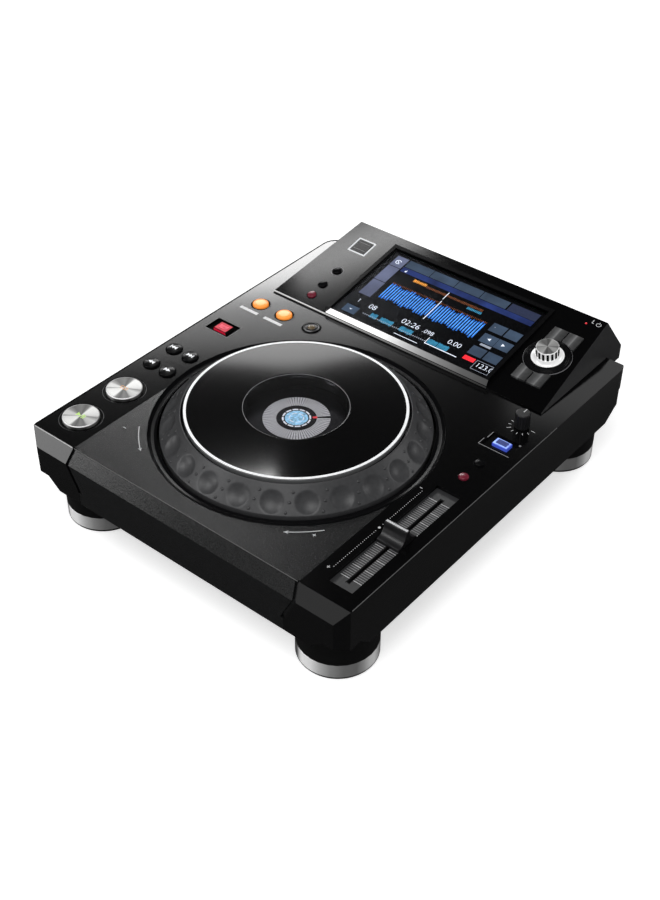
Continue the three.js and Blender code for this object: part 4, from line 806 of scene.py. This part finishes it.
# Radius of each row of small dots and its turn from the gap between two dimples
DOT_ROWS = ((91.0, 1.6), (96.1, 0.0), (101.2, -1.4))
DOT_PROFILE = [(1.25, -0.2), (1.2, 0.2), (0.8, 0.55), (0.0, 0.7)]
PLATTER_RIM = 82.0
PLATTER_TOP = 101.8
PLATTER_CROWN = 0.65
WINDOW_TOP = 101.9
# The jog display's needle lies between these angles
NEEDLE_FROM = 38
NEEDLE_TO = 45


def dimple_shift(angle, radius, height):
    """Sinks points of the cone that lie within a dimple."""
    on_cone = DIAL_INNER < radius < DIAL_RIM and height > DIAL_RIM_TOP - 0.5
    if not on_cone or abs(radius + height - DIAL_RIM - DIAL_RIM_TOP) > 0.2:
        return radius, height
    pitch = 2 * math.pi / DIMPLES
    across = (angle - round(angle / pitch) * pitch) * radius
    along = (radius - DIMPLE_PLACE) * math.sqrt(2)
    distance = math.hypot(across, along)
    if distance > DIMPLE_RADIUS:
        return radius, height
    ball = (DIMPLE_RADIUS ** 2 + DIMPLE_DEPTH ** 2) / (2 * DIMPLE_DEPTH)
    sunk = math.sqrt(ball ** 2 - distance ** 2) - (ball - DIMPLE_DEPTH)
    return radius - sunk / math.sqrt(2), height - sunk / math.sqrt(2)


def jog_dial():
    cone = [
        (
            DIAL_RIM + (DIAL_INNER - DIAL_RIM) * row / CONE_ROWS,
            DIAL_RIM_TOP + (DIAL_TOP - DIAL_RIM_TOP) * row / CONE_ROWS,
        )
        for row in range(1, CONE_ROWS)
    ]
    under = filleted([(DIAL_HUB, 77), (DIAL_RIM, 77), (DIAL_RIM, DIAL_RIM_TOP), cone[0]], 0.5)
    inside = filleted(
        [
            cone[-1], (DIAL_INNER, DIAL_TOP), (86.2, DIAL_TOP), (86.2, 94.6), (98.3, 82.5), (98.3, 80),
            (DIAL_HUB, 80),
        ],
        0.4,
    )
    profile = under + cone[1:-1] + inside
    wheel = turned("jog_dial_wheel", profile, DIMPLES * 24, JOG_PLACE, closed=True, shift=dimple_shift)
    stand_for(wheel, "jog_dial", DIAL)
    parts = []
    for step in range(DIMPLES):
        for radius, offset in DOT_ROWS:
            place = (
                turn((step + 0.5) * 360 / DIMPLES + offset, "Z")
                @ Matrix.Translation((radius, 0, DIAL_RIM + DIAL_RIM_TOP - radius))
                @ turn(45, "Y")
            )
            parts.append(dome_part(DOT_PROFILE, 12, place))
    wear(smooth(new_piece("dial_dots", *merge(parts), JOG_PLACE), 50), "jog_dial", DIAL)


def dome_part(profile, steps, place):
    """Verts and faces of a small dome, closed underneath."""
    verts = []
    for radius, height in profile[:-1]:
        for step in range(steps):
            verts.append(place @ Vector((*on_circle(radius, 2 * math.pi * step / steps), height)))
    verts.append(place @ Vector((0, 0, profile[-1][1])))
    faces = [list(range(steps - 1, -1, -1))]
    last = len(profile) - 2
    for row in range(last + 1):
        for step in range(steps):
            start = row * steps
            after = start + (step + 1) % steps
            if row < last:
                faces.append([start + step, after, after + steps, start + steps + step])
            else:
                faces.append([start + step, after, len(verts) - 1])
    return verts, faces


def jog_top():
    profile = filleted(
        [
            (39, 80.8), (41, 80.8), (41, 99.5), (82.3, 99.5), (82.3, 97.8), (84.0, 97.8), (84.0, 101.9),
            (PLATTER_RIM, 101.9), (PLATTER_RIM, PLATTER_TOP), (40.3, PLATTER_TOP + PLATTER_CROWN),
            (40.3, 99.8), (39, 99.8),
        ],
        0.3,
        closed=True,
    )
    top = turned("jog_platter_top", profile, FINE_STEPS, JOG_PLACE, closed=True)
    stand_for(top, "jog_platter", PLATTER)
    # Name, material, inner and outer radius, heights and edge
    trims = (
        ("platter_ring", WHITE_RING, PLATTER_RIM, 84.1, 101.7, 102.1, 0.2, FINE_STEPS),
        ("platter_wall", GREY_METAL, 83.7, 84.3, 97.9, 101.4, 0.25, FINE_STEPS),
        ("platter_groove", GROOVE, 83.9, 84.28, 99.3, 99.6, 0.05, FINE_STEPS),
        ("window_rim", INK_GREY, 39.9, 40.3, WINDOW_TOP - 0.2, WINDOW_TOP + 0.08, 0.08, 128),
    )
    for name, used, *sizes in trims:
        ring(name, "jog_platter", used, *sizes, JOG_PLACE)
    profile = filleted([(0, 100.1), (40, 100.1), (40, WINDOW_TOP), (0, WINDOW_TOP)], 0.25)
    stand_for(turned("jog_window_disc", profile, 128, JOG_PLACE), "jog_window", WINDOW)


def jog_display():
    node = "jog_display"
    top = high(node).z
    profile = filleted([(0, 82.2), (13, 82.2), (13, 84), (37, 84), (37, top), (0, top)], 0.4)
    stand_for(turned("jog_display_disc", profile, WIDE_STEPS, JOG_PLACE), node, SCREEN_BLACK)
    spokes = [
        band(15.3, 25.5, start, start + 3.2, 2)
        for start in range(0, 360, 5)
        if not NEEDLE_FROM <= start + 2.5 <= NEEDLE_TO + 2
    ]
    around = [band(15.2, 25.6, NEEDLE_TO, 360 + NEEDLE_FROM, 64)]
    dashes = [band(9.7, 11.0, 30 * i + 3, 30 * i + 27, 4) for i in range(12)]
    inner = [band(5.2, 5.8, 60 * i + 5, 60 * i + 50, 4) for i in range(6)]
    mark = [band(12.2, 15.6, 37.5, 46.5, 3)]
    # Name, material, outlines, rise and thickness
    marks = (
        ("display_rays", DISPLAY_GREY, spokes, 0.08, 0.08),
        ("display_hoop", DISPLAY_DIM, around, 0.03, 0.03),
        ("display_dashes", DISPLAY_WHITE, dashes, 0.06, PRINT_THICKNESS),
        ("display_core_dashes", DISPLAY_WHITE, inner, 0.22, PRINT_THICKNESS),
        ("display_mark", DISPLAY_RED, mark, 0.1, PRINT_THICKNESS),
    )
    for name, used, outlines, rise, thickness in marks:
        prints(name, node, used, outlines, top + rise, JOG_PLACE, thickness)
    core = button("display_core", 8.8, top - 0.1, top + 0.2, 0.1, 0.3, 64, JOG_PLACE)
    wear(core, node, DISPLAY_BLUE)


def jog_bezel():
    profile = [(105.1, 80), (112, 80), (112, 83.5), (109.4, 81.9), (107.2, 81.6), (105.1, 82.4)]
    profile = filleted(profile, 0.3, closed=True)
    stand_for(turned("jog_bezel_ring", profile, FINE_STEPS, JOG_PLACE, closed=True), "jog_bezel", BEZEL)


# Deck controls

BIG_BUTTON = 14.2
SEARCH_ICON = 3.6
LEVER_X = -129.85
LEVER_FORWARD = 1.0
FADER_X = 132.6
FADER_SLOT = 1.7
FADER_PITCH = 2.06
FADER_MARKS = 24
FADER_HALF_RUN = 52
SCALE_X = 117.6
SLIDER_BASE = 81.4
SLIDER_HALF_X = 9.5
SLIDER_HALF_Y = 10.2
ARROW_RADIUS = 118.2


def round_button(node, used, radius, crown, edge, top=None):
    """A button that stands for its node and is as high, unless its top is given."""
    top = high(node).z if top is None else top
    cap = button(f"{node}_cap", radius, low(node).z, top, crown, edge, SMALL_STEPS, over(node))
    stand_for(cap, node, used)


def big_buttons():
    for node in ("play_button", "cue_button"):
        top = high(node).z
        profile = [
            (0, 73.4), (3.6, 73.4), (3.6, 79.5), (15.4, 79.5), (15.4, 80.7), (BIG_BUTTON, 80.7),
            (BIG_BUTTON, top), (0, top),
        ]
        place = over(node)
        stand_for(turned(f"{node}_disc", filleted(profile, 0.7), WIDE_STEPS, place), node, SPUN)
        halo = (16.7, 17.15, DECK - 0.5, DECK - 0.32)
        ring(f"{node}_halo", "top_case", HALO, *halo, 0.06, WIDE_STEPS, place)
        # A ring round the disc's edge, with a painted highlight
        rim = (BIG_BUTTON - 0.75, BIG_BUTTON + 0.04, top - 0.8, top + 0.03)
        ring(f"{node}_rim", node, RIM_PAINTED_HIGHLIGHT, *rim, 0.35, WIDE_STEPS, place)
    stroke = rectangle(-0.06, 0.06, -0.7, 0.7)
    play = [
        moved(TRIANGLE, -2.2, 0.0, 0, 4.2),
        moved(stroke, 0.6, 0.0, -20, 4.2),
        moved(BAR, 2.0, 0.0, 0, 4.0),
        moved(BAR, 3.5, 0.0, 0, 4.0),
    ]
    cue = frame_outlines(-3.4, 3.4, -1.5, 1.5, 0.5) + [moved(BAR, 0, 0, 0, 1.9)]
    for key, used, shapes in (("play", GREEN_ICON, play), ("cue", ORANGE_ICON, cue)):
        node = f"{key}_button"
        prints(f"{key}_icon", node, used, shapes, high(node).z + 0.03, over(node))


def search_buttons():
    for row in ("search", "track"):
        for way, side in (("back", -1), ("forward", 1)):
            node = f"{row}_{way}_button"
            round_button(node, BUTTON, 6.9, 1.3, 1.6)
            facing = 0 if side > 0 else 180
            shapes = [moved(TRIANGLE, x * side, 0, facing, SEARCH_ICON) for x in (-1.35, 1.35)]
            if row == "track":
                shapes.append(moved(BAR, 3.0 * side, 0, 0, SEARCH_ICON))
            prints(f"{node}_icon", node, LIT_WHITE, shapes, high(node).z - 0.12, over(node), 0.2)


def loop_buttons():
    top = high("loop_in_button").z
    for node in ("loop_in_button", "loop_out_button"):
        place = over(node)
        round_button(node, ORANGE, 6.8, 1.4, 1.4)
        core = button(f"{node}_core", 4.6, top - 0.6, top + 0.12, 0.3, 0.8, SMALL_STEPS, place)
        wear(core, node, ORANGE_CORE)
        deck_prints(f"{node}_label", LABEL, [rectangle(-11.0, 8.2, -14.6, -11.4)], place)
    node = "loop_exit_button"
    place = over(node)
    round_button(node, BUTTON, 6.8, 0.8, 1.0, top - 1.3)
    # A dark hoop with painted highlights on two arcs
    ring("loop_exit_hoop", node, HOOP, 5.7, 6.7, top - 1.8, top - 1.0, 0.3, 48, place)
    wear(button("loop_exit_dome", 3.3, top - 2.0, top, 1.6, 1.8, SMALL_STEPS, place), node, BROWN)
    for node in ("loop_in_button", "loop_out_button", "loop_exit_button"):
        spot = middle(node)
        # The dark ring in each button's well, and its rim, sit 0.3 mm to the right of the button: the ring is
        # the real gap, and its offset paints shade on the well's right side
        place = at(spot.x + 0.3, spot.y)
        ring(f"{node}_well", "top_case", GROOVE, 7.25, 8.6, DECK - 0.3, DECK - 0.02, 0.05, 64, place)
        ring(f"{node}_rim", "top_case", BEZEL, 8.35, 8.75, DECK - 0.02, DECK + 0.12, 0.06, 64, place)


def small_buttons():
    for node, used in (("master_tempo_button", RED_BUTTON), ("tempo_range_button", BUTTON)):
        round_button(node, used, 3.8, 1.1, 1.3)
        ring(f"{node}_rim", "top_case", BEZEL, 4.1, 4.5, DECK - 0.02, DECK + 0.14, 0.05, 48, over(node))


def direction_lever():
    node = "direction_lever"
    dressed(node, GROOVE)
    spot = middle(node)
    top = high(node).z
    ahead = spot.y - LEVER_FORWARD
    verts, faces = box(-7.25, 7.25, -5.25, 5.25, DECK - 1.5, top + 0.04)
    verts = [(x * (0.9 if z > DECK else 1), y, z) for x, y, z in verts]
    block = new_piece("lever_block", verts, faces, at(LEVER_X, ahead))
    wear(bevelled(block, 0.6, 3), node, LEVER)
    panel = box(-4.2, 4.2, -2.2, 2.2, -0.3, 0.06)
    lit = new_piece("lever_lit_panel", *panel, at(LEVER_X, ahead, top + 0.06))
    wear(bevelled(lit, 0.06), node, LEVER_LIT)
    outlines = [rectangle(-12.7, 12.7, -9.0, -8.6), rectangle(12.3, 12.7, -8.6, 9.0)]
    deck_prints("lever_slot_rim", INK_GREY, outlines, at(-131.65, spot.y), 0.03, 0.1)


def tempo_fader():
    node = "tempo_fader"
    dressed(node, FADER)
    centre = middle(node).y
    top = high(node).z
    half_strip = 8.9
    half_line = 0.2
    half_run = 54
    lines = {"tempo_lines": [], "tempo_long_lines": []}
    for step in range(-FADER_MARKS, FADER_MARKS + 1):
        y = centre + step * FADER_PITCH
        target = lines["tempo_long_lines" if step % 6 == 0 else "tempo_lines"]
        for x0, x1 in ((-half_strip, -FADER_SLOT), (FADER_SLOT, half_strip)):
            target.append(rectangle(x0, x1, y - half_line, y + half_line))
    place = at(FADER_X, 0)
    prints("tempo_lines", node, INK_GREY, lines["tempo_lines"], top + 0.03, place)
    prints("tempo_long_lines", node, INK, lines["tempo_long_lines"], top + 0.03, place)
    walls = [
        rectangle(x0, x1, centre - half_run, centre + half_run)
        for x0, x1 in ((-FADER_SLOT, -1.25), (1.25, FADER_SLOT))
    ]
    prints("tempo_slot_edges", node, GROOVE, walls, top + PRINT_RISE, place)


def tempo_slider():
    node = "tempo_slider"
    place = over(node)
    base = SLIDER_BASE
    top = high(node).z
    side = []
    rows = 12
    for row in range(rows + 1):
        angle = math.pi / 2 * row / rows
        rise = (top - 1.4 - base - 2.6) * (1 - math.cos(angle))
        side.append((SLIDER_HALF_Y - (SLIDER_HALF_Y - 2.2) * math.sin(angle), base + 2.6 + rise))
    outline = [(SLIDER_HALF_Y, base)] + side + [(1.6, top)]
    outline += [(-y, z) for y, z in reversed(outline)]
    parts = [
        bridged([(x, y, z) for x in (-SLIDER_HALF_X, SLIDER_HALF_X) for y, z in outline], len(outline), -1),
        box(-0.85, 0.85, -3.4, 3.4, 76.9, base + 0.3),
        box(-4.8, 4.8, -5, 5, 68.2, 77.2),
    ]
    stand_for(bevelled(new_piece("tempo_slider_cap", *merge(parts), place), 0.35, 3, 45), node, SLIDER)
    bar = box(-SLIDER_HALF_X + 0.3, SLIDER_HALF_X - 0.3, -1.1, 1.1, top - 0.5, top + 0.02)
    wear(bevelled(new_piece("slider_bar", *bar, place), 0.2), node, STRIP)
    ribs = []
    for end in (-1, 1):
        for y in (-3.2, -1.6, 0.0, 1.6, 3.2):
            x0, x1 = sorted((end * (SLIDER_HALF_X - 0.2), end * (SLIDER_HALF_X + 0.25)))
            ribs.append(box(x0, x1, y - 0.35, y + 0.35, base + 0.5, base + 8.5 - abs(y)))
    wear(smooth(new_piece("slider_ribs", *merge(ribs), place)), node, SLIDER)


def tempo_scale():
    """Fine dots beside the fader, with a mark at each end and at the middle."""
    centre = middle("tempo_fader").y
    shapes = [
        moved(arc(0.32, 0, 315, 7), SCALE_X, centre + step * FADER_PITCH)
        for step in range(-FADER_MARKS, FADER_MARKS + 1)
        if abs(step) > 1
    ]
    x = SCALE_X - 2.6
    shapes += [
        moved(BAR, x, centre + FADER_HALF_RUN, 90, 2.2),
        dot(1.0, SCALE_X, centre),
        moved(BAR, x, centre - FADER_HALF_RUN, 90, 2.4),
        moved(BAR, x, centre - FADER_HALF_RUN, 0, 2.4),
    ]
    deck_prints("tempo_scale", INK, shapes, at(0, 0))


def jog_mode():
    node = "jog_mode_button"
    dressed(node, BLUE, 0.5, 3)
    top = high(node).z
    glow = frame_outlines(-6.0, 6.0, -3.6, 3.6, 1.3)
    prints("mode_button_glow", node, PALE_BLUE, glow, top + 0.03, over(node))
    prints("mode_button_face", node, NAVY, [rectangle(-4.5, 4.5, -2.2, 3.0)], top + 0.1, over(node))
    outline = [
        rectangle(-14.0, 13.0, -10.1, -9.6),
        rectangle(-14.0, -13.5, -9.6, -2.0),
        rectangle(-12.6, -12.0, 0, 8),
    ]
    deck_prints("mode_outline", INK_GREY, outline, at(131.2, middle(node).y))
    deck_prints("mode_dot", INK_GREY, [dot(0.9)], at(143.4, FRONT + 219))


def fluted(name, radius, depth, flutes, z0, z1, crown, place, steps_per=6):
    """A gripped knob: a round bar with scalloped sides and a chamfered top."""
    profile = [(0, z0), (radius, z0), (radius, z1 - crown), (radius - crown, z1), (0, z1)]

    def scallop(angle, r, z):
        if r < radius - crown * 1.5 or z > z1 - 0.2:
            return r, z
        return r - depth * (0.5 - 0.5 * math.cos(angle * flutes)), z

    return turned(name, held(filleted(profile, 0.2), False), flutes * steps_per, place, shift=scallop)


def speed_knob():
    node = "speed_knob"
    place = over(node)
    top = high(node).z
    stand_for(fluted("speed_knob_grip", 5.9, 0.45, 18, DECK + 0.5, top, 0.7, place), node, SLIDER)
    stem = [(0, 71.9), (3, 71.9), (3, DECK + 0.6), (0, DECK + 0.6)]
    wear(turned("speed_knob_stem", stem, 32, place), node, STEEL)
    prints("speed_pointer", node, INK, [rectangle(-0.35, 0.35, 0.6, 5.0)], top + PRINT_RISE, place)
    start = 8.2
    ticks = []
    for step in range(11):
        length = 3.4 if step % 5 == 0 else 2.2
        ticks.append(moved(rectangle(start, start + length, -0.22, 0.22), 0, 0, step * 27 - 270))
    deck_prints("speed_ticks", INK, ticks, place)


def palm_marks():
    """Turning arrows on the palm rest, beside the dial."""
    shapes = []
    for start, end, head, way in ((-139.8, -125.5, -125.5, 1), (-53.9, -40.2, -53.9, -1)):
        shapes.append(band(ARROW_RADIUS - 0.3, ARROW_RADIUS + 0.3, start, end, 12))
        tip = on_circle(ARROW_RADIUS, math.radians(head))
        for barb in ([(0, 0), (-3.4, 1.5), (-2.6, 0.6)], [(0, 0), (-2.6, -0.6), (-3.4, -1.5)]):
            shapes.append(moved(barb, *tip, head + 90 * way))
    for x, degrees in ((-97.5, 90), (88.0, 90), (88.0, 0)):
        shapes.append(moved(BAR, x, -84.5, degrees, 2.6))
    prints("palm_arrows", "palm_rest", INK, shapes, high("palm_rest").z + PRINT_RISE, JOG_PLACE)


# Control plate

SELECTOR_SPOT = (106.5, 53.0)
SELECTOR_FLUTES = 16
SKIRT_LOW = 2.25
SKIRT_TOP = 5.3
USB_SPOT = (-104.2, 84.0)
LAMP_SPOT = (111.4, 101.7)
POWER_SPOT = (121.0, 105.0)


def plate_buttons():
    for node, used in (("usb_stop_button", BUTTON), ("time_button", BUTTON), ("quantize_button", RED_BUTTON)):
        place = plate_place(node)
        stand_for(button(f"{node}_cap", 3.8, -5.6, 2.0, 1.1, 1.3, SMALL_STEPS, place), node, used)
        ring(f"{node}_rim", "screen_housing", BEZEL, 4.1, 4.6, -0.05, 0.14, 0.05, 48, place)
    place = plate_place("usb_stop_button")
    ring("usb_stop_hoop", "screen_housing", INK_GREY, 5.0, 5.7, -0.05, 0.2, 0.06, 64, place)


def usb_cover():
    dressed("usb_frame", LIT_WHITE, 0.25)
    dressed("usb_door", DOOR, 0.3)
    painted("usb_socket", STEEL)
    lines = [rectangle(-6.2, 6.2, y, y + 0.4) for y in (-4.4, 4.0)]
    prints("usb_door_lines", "usb_door", INK_GREY, lines, 0.32, on_plate(*USB_SPOT))


def selector():
    place = on_plate(*SELECTOR_SPOT)
    profile = [(3.3, 0.3), (19.3, 0.3), (19.3, 1.0)]
    for radius in (18.6, 17.0, 15.4):
        profile += [(radius, 1.1), (radius - 0.4, 0.85), (radius - 0.8, 1.1)]
    profile += [(13.6, 1.1), (3.3, 1.1)]
    collar = turned("selector_collar_disc", profile, WIDE_STEPS, place, closed=True)
    stand_for(collar, "selector_collar", BUTTON)
    edge = (19.1, 19.5, 0.1, 0.8)
    ring("selector_collar_edge", "selector_collar", INK_GREY, *edge, 0.1, WIDE_STEPS, place)
    painted("selector_shaft", STEEL)
    node = "selector_knob"
    skirt = [(3.4, SKIRT_LOW)]
    rows = 10
    for row in range(rows + 1):
        share = row / rows
        skirt.append((13.2 - 3.2 * share ** 0.5, SKIRT_LOW + 2.9 * share ** 1.6))
    skirt += [(9.0, SKIRT_TOP), (3.4, SKIRT_TOP)]
    stand_for(turned("selector_skirt", skirt, WIDE_STEPS, place, closed=True), node, CHROME)
    wear(fluted("selector_grip", 9.3, 0.5, SELECTOR_FLUTES, 5.0, 12.4, 0.5, place), node, CHROME)
    verts, faces = box(8.3, 9.36, -0.95, 0.95, 4.6, 11.3)
    slots = []
    for step in range(SELECTOR_FLUTES):
        way = turn((step + 0.5) * 360 / SELECTOR_FLUTES, "Z")
        slots.append(([way @ Vector(v) for v in verts], faces))
    wear(new_piece("selector_slots", *merge(slots), place), node, GROOVE)
    wear(button("selector_cap", 8.7, 12.2, 12.55, 0.15, 0.3, 64, place), node, SPUN)


def plate_keys():
    for key in ("back", "tag", "filter", "shortcut"):
        dressed(f"{key}_key", KEY, 0.35)


def plate_marks():
    node = "screen_housing"
    wear(button("standby_lamp", 0.9, -0.2, 0.5, 0.3, 0.4, 24, on_plate(*LAMP_SPOT)), node, DISPLAY_RED)
    shapes = [
        moved(rectangle(-0.3, 0.3, -2, 2), 115.1, 106.2),
        moved(rectangle(-0.3, 1.2, -0.4, 0.2), 115.3, 104.6),
        moved(band(1.7, 2.2, 120, 420, 20), *POWER_SPOT),
        moved(rectangle(-0.25, 0.25, 0.6, 2.8), *POWER_SPOT),
    ]
    prints("standby_marks", node, INK, shapes, 0.03, on_plate(0, 0))


# Touch screen

UI_LEFT = -78.0
UI_RIGHT = 81.0
UI_TOP = 97.0
# Millimetres to one of the display's own picture elements, of which it has 1500 by 900
UI_ACROSS = (UI_RIGHT - UI_LEFT) / 1500.0
UI_DOWN = UI_TOP / 900.0
FIGURE_SIZE = 1.38
FIGURE_THIN = -0.014
# Colour, glow, and spread and grain of the noise of each paint on the display
UI_PAINTS = {
    "navy": ((0.020, 0.026, 0.055), 0.85, 0.12, 500),
    "slate": ((0.035, 0.055, 0.085), 0.85, 0.3, 60),
    "lilac": ((0.095, 0.105, 0.16), 0.85, 0.35, 40),
    "bar_blue": ((0.010, 0.022, 0.10), 1.0, 0.5, 60),
    "wave": ((0.02, 0.14, 0.52), 1.0, 0.35, 300),
    "wave_light": ((0.10, 0.36, 0.85), 1.1, 0.2, 300),
    "teal": ((0.03, 0.20, 0.32), 1.0, 0.3, 400),
    "amber": ((0.75, 0.28, 0.04), 1.0, 0.4, 500),
    "rust": ((0.20, 0.06, 0.02), 0.8, 0.5, 500),
    "white": ((0.80, 0.83, 0.88), 1.0, 0.12, 500),
    "dim": ((0.30, 0.32, 0.36), 0.8, 0.12, 500),
    "red": ((0.80, 0.02, 0.03), 1.1, 0.12, 500),
}
# Name, paint, rise and rectangles (left, right, top, bottom) in the display's own picture elements
UI_PANELS = (
    ("ui_column", "lilac", 0.05, [(80, 190, 65, 190), (80, 190, 196, 388), (82, 195, 394, 590)]),
    (
        "ui_tabs", "slate", 0.05,
        [(205, 447, 65, 150), (453, 687, 65, 150), (693, 927, 65, 150), (933, 1175, 65, 150)],
    ),
    ("ui_last_tab", "navy", 0.05, [(1190, 1450, 65, 152)]),
    ("ui_title_bar", "bar_blue", 0.05, [(205, 1450, 156, 212)]),
    (
        "ui_keys", "slate", 0.05,
        [
            (1198, 1325, 320, 415), (1338, 1460, 320, 415), (1203, 1333, 450, 550), (1336, 1465, 450, 550),
            (1208, 1332, 605, 700), (1345, 1470, 605, 700), (90, 215, 738, 822),
        ],
    ),
    ("ui_beats", "dim", 0.08, [(x, x + 9, 762, 772) for x in range(265, 870, 18)]),
    (
        "ui_lines", "white", 0.1,
        [
            (697, 703, 220, 310), (704, 710, 330, 575), (874, 879, 716, 786), (876, 1172, 781, 788),
            (612, 832, 817, 822),
        ],
    ),
    ("ui_red_box", "red", 0.05, [(1213, 1312, 726, 768)]),
    (
        "ui_outlines", "dim", 0.06,
        [
            (1325, 1475, 726, 729), (1325, 1475, 822, 825), (1325, 1328, 729, 822), (1472, 1475, 729, 822),
            (1240, 1335, 560, 582), (1228, 1234, 358, 366),
        ],
    ),
)
# Name, paint and rise of each row of bars; then from, to, middle, reach, count, seed and width share
UI_WAVES = (
    ("ui_wave", "wave", 0.05, (250, 1160, 458, 104, 38, 0.3, 0.52)),
    ("ui_wave_core", "wave_light", 0.08, (250, 1160, 458, 84, 38, 0.3, 0.26)),
    ("ui_amber_marks", "amber", 0.05, (372, 500, 247, 17, 10, 0.6, 0.7)),
    ("ui_rust_marks", "rust", 0.05, (505, 1050, 258, 14, 44, 0.9, 0.5)),
    ("ui_rust_edges", "rust", 0.05, (250, 1160, 356, 10, 60, 0.2, 0.3)),
    ("ui_blue_marks", "teal", 0.05, (920, 1055, 290, 14, 10, 0.5, 0.7)),
)
UI_OVERVIEW = ((330, 392), (425, 545), (615, 735), (885, 970), (975, 1072))
# Name, figures, left, base line and height
UI_FIGURES = (
    ("ui_track_figures", "08", 256, 697, 52),
    ("ui_time_figures", "02:26", 578, 697, 55),
    ("ui_time_fraction", ".098", 782, 697, 42),
    ("ui_speed_figures", "0.00", 1018, 697, 50),
    ("ui_beat_figures", "123.0", 1340, 790, 48),
    ("ui_player_figure", "1", 134, 682, 42),
)


def ui_spot(x, y):
    """A point given in the display's own picture elements, from its top left."""
    return UI_LEFT + x * UI_ACROSS, UI_TOP - y * UI_DOWN


def ui_print(name, used, outlines, rise):
    prints(name, "lcd_panel", used, outlines, DISPLAY_TOP + rise, SCREEN, 0.04)


def ui_layer(name, used, rise, rectangles):
    outlines = []
    for x0, x1, y0, y1 in rectangles:
        (left, bottom), (right, top) = ui_spot(x0, y1), ui_spot(x1, y0)
        outlines.append(rectangle(left, right, bottom, top))
    ui_print(name, used, outlines, rise)


def wave_bars(x0, x1, centre, reach, count, seed, thin):
    """Bars whose heights follow a few summed waves, like a sound's outline."""
    bars = []
    step = (x1 - x0) / count
    for i in range(count):
        half = reach * (0.84 + 0.09 * math.sin(i * 0.9 + seed) + 0.07 * math.sin(i * 2.3 + 2 * seed))
        x = x0 + i * step
        bars.append((x, x + step * thin, centre - half, centre + half))
    return bars


def ui_text(name, text, x, y, height, used):
    """Plain figures, as thin solids on the display."""
    curve = bpy.data.curves.new(name, "FONT")
    curve.body = text
    curve.size = height * UI_DOWN * FIGURE_SIZE * MM
    curve.extrude = 0.02 * MM
    curve.offset = FIGURE_THIN * curve.size
    writing = link(bpy.data.objects.new(name, curve))
    mesh = final_mesh(writing)
    bpy.data.objects.remove(writing)
    mesh.transform(SCREEN @ at(*ui_spot(x, y), DISPLAY_TOP + 0.12))
    wear(link(bpy.data.objects.new(name, mesh)), "lcd_panel", used)


def screen_picture():
    paint = {
        name: matter(f"ui_{name}", color, 0.5, specular=0.1, glow=glow, spread=spread, grain=grain)
        for name, (color, glow, spread, grain) in UI_PAINTS.items()
    }
    for name, used, rise, rectangles in UI_PANELS:
        ui_layer(name, paint[used], rise, rectangles)
    for name, used, rise, bars in UI_WAVES:
        ui_layer(name, paint[used], rise, wave_bars(*bars))
    bars = []
    for start, end in UI_OVERVIEW:
        bars += wave_bars(start, end, 752, 30, max(6, int((end - start) / 9)), start, 0.8)
    ui_layer("ui_overview", paint["teal"], 0.05, bars)
    shapes = [
        moved(TRIANGLE, *ui_spot(1268, 497), 180, 3.2),
        moved(TRIANGLE, *ui_spot(1398, 497), 0, 3.2),
        moved(band(2.1, 2.7, 20, 320, 18), *ui_spot(128, 130)),
        moved(BAR, *ui_spot(128, 130), 45, 3.6),
        moved(BAR, *ui_spot(255, 190), 0, 2.6),
        dot(0.8, *ui_spot(249, 197)),
        moved([(-1.2, 0.4), (0, -0.8), (1.2, 0.4), (0.9, 0.8), (0, -0.1), (-0.9, 0.8)], *ui_spot(152, 778)),
    ]
    ui_print("ui_icons", paint["white"], shapes, 0.1)
    for figures in UI_FIGURES:
        ui_text(*figures, paint["white"])


def sloped_frame():
    """The screen's frame with its front edge cut to a slope."""
    piece = dressed("lcd_frame", SCREEN_BLACK)
    flat = PLATE.inverted()
    for vert in piece.data.vertices:
        spot = flat @ vert.co / MM
        if abs(spot.y - FRAME_START) < 0.3 and spot.z > FRAME_FRONT_RISE - 0.5:
            vert.co = on_plate(spot.x, SLOPE_END, spot.z - 0.1).to_translation()


def strip_piece():
    """The strip on the slope, with a slanted left end, bright with a painted reflection that fades along it."""
    depth = 0.12
    right = 83.5
    rows = ((FRAME_START - 0.1, 0.5, -79.0), (SLOPE_END - 0.1, FRAME_FRONT_RISE + 0.02, -75.0))
    verts = []
    for y, z, left in rows:
        for x in (left, right):
            verts += [(x, y, z), (x, y + depth, z - depth)]
    faces = [(0, 2, 6, 4), (1, 3, 7, 5), (0, 1, 5, 4), (2, 3, 7, 6), (0, 1, 3, 2), (4, 5, 7, 6)]
    wear(new_piece("screen_strip", verts, faces, PLATE), "lcd_frame", BRIGHT_STRIP)


def touch_screen():
    sloped_frame()
    dressed("touch_glass", GLASS, 0.15)
    dressed("lcd_panel", SCREEN_BLACK, 0.1)
    strip_piece()
    screen_picture()


# Rear and inside

def rear_pieces():
    dressed("power_inlet", PLAIN, 0.3)
    dressed("audio_jacks", PLAIN, 0.2)
    dressed("lan_socket", STEEL, 0.2)
    dressed("usb_b_socket", STEEL, 0.2)
    dressed("power_button", BUTTON, 0.4)
    for node in ("control_board", "main_board", "panel_board"):
        painted(node, BOARD)
    painted("power_supply", STEEL)


STEPS = (
    make_studio, case_pieces, edge_lines, feet, jog_dial, jog_top, jog_display, jog_bezel, big_buttons,
    search_buttons, loop_buttons, small_buttons, direction_lever, tempo_fader, tempo_slider, tempo_scale,
    jog_mode, speed_knob, palm_marks, plate_buttons, usb_cover, selector, plate_keys, plate_marks,
    touch_screen, rear_pieces,
)
for make in STEPS:
    make()
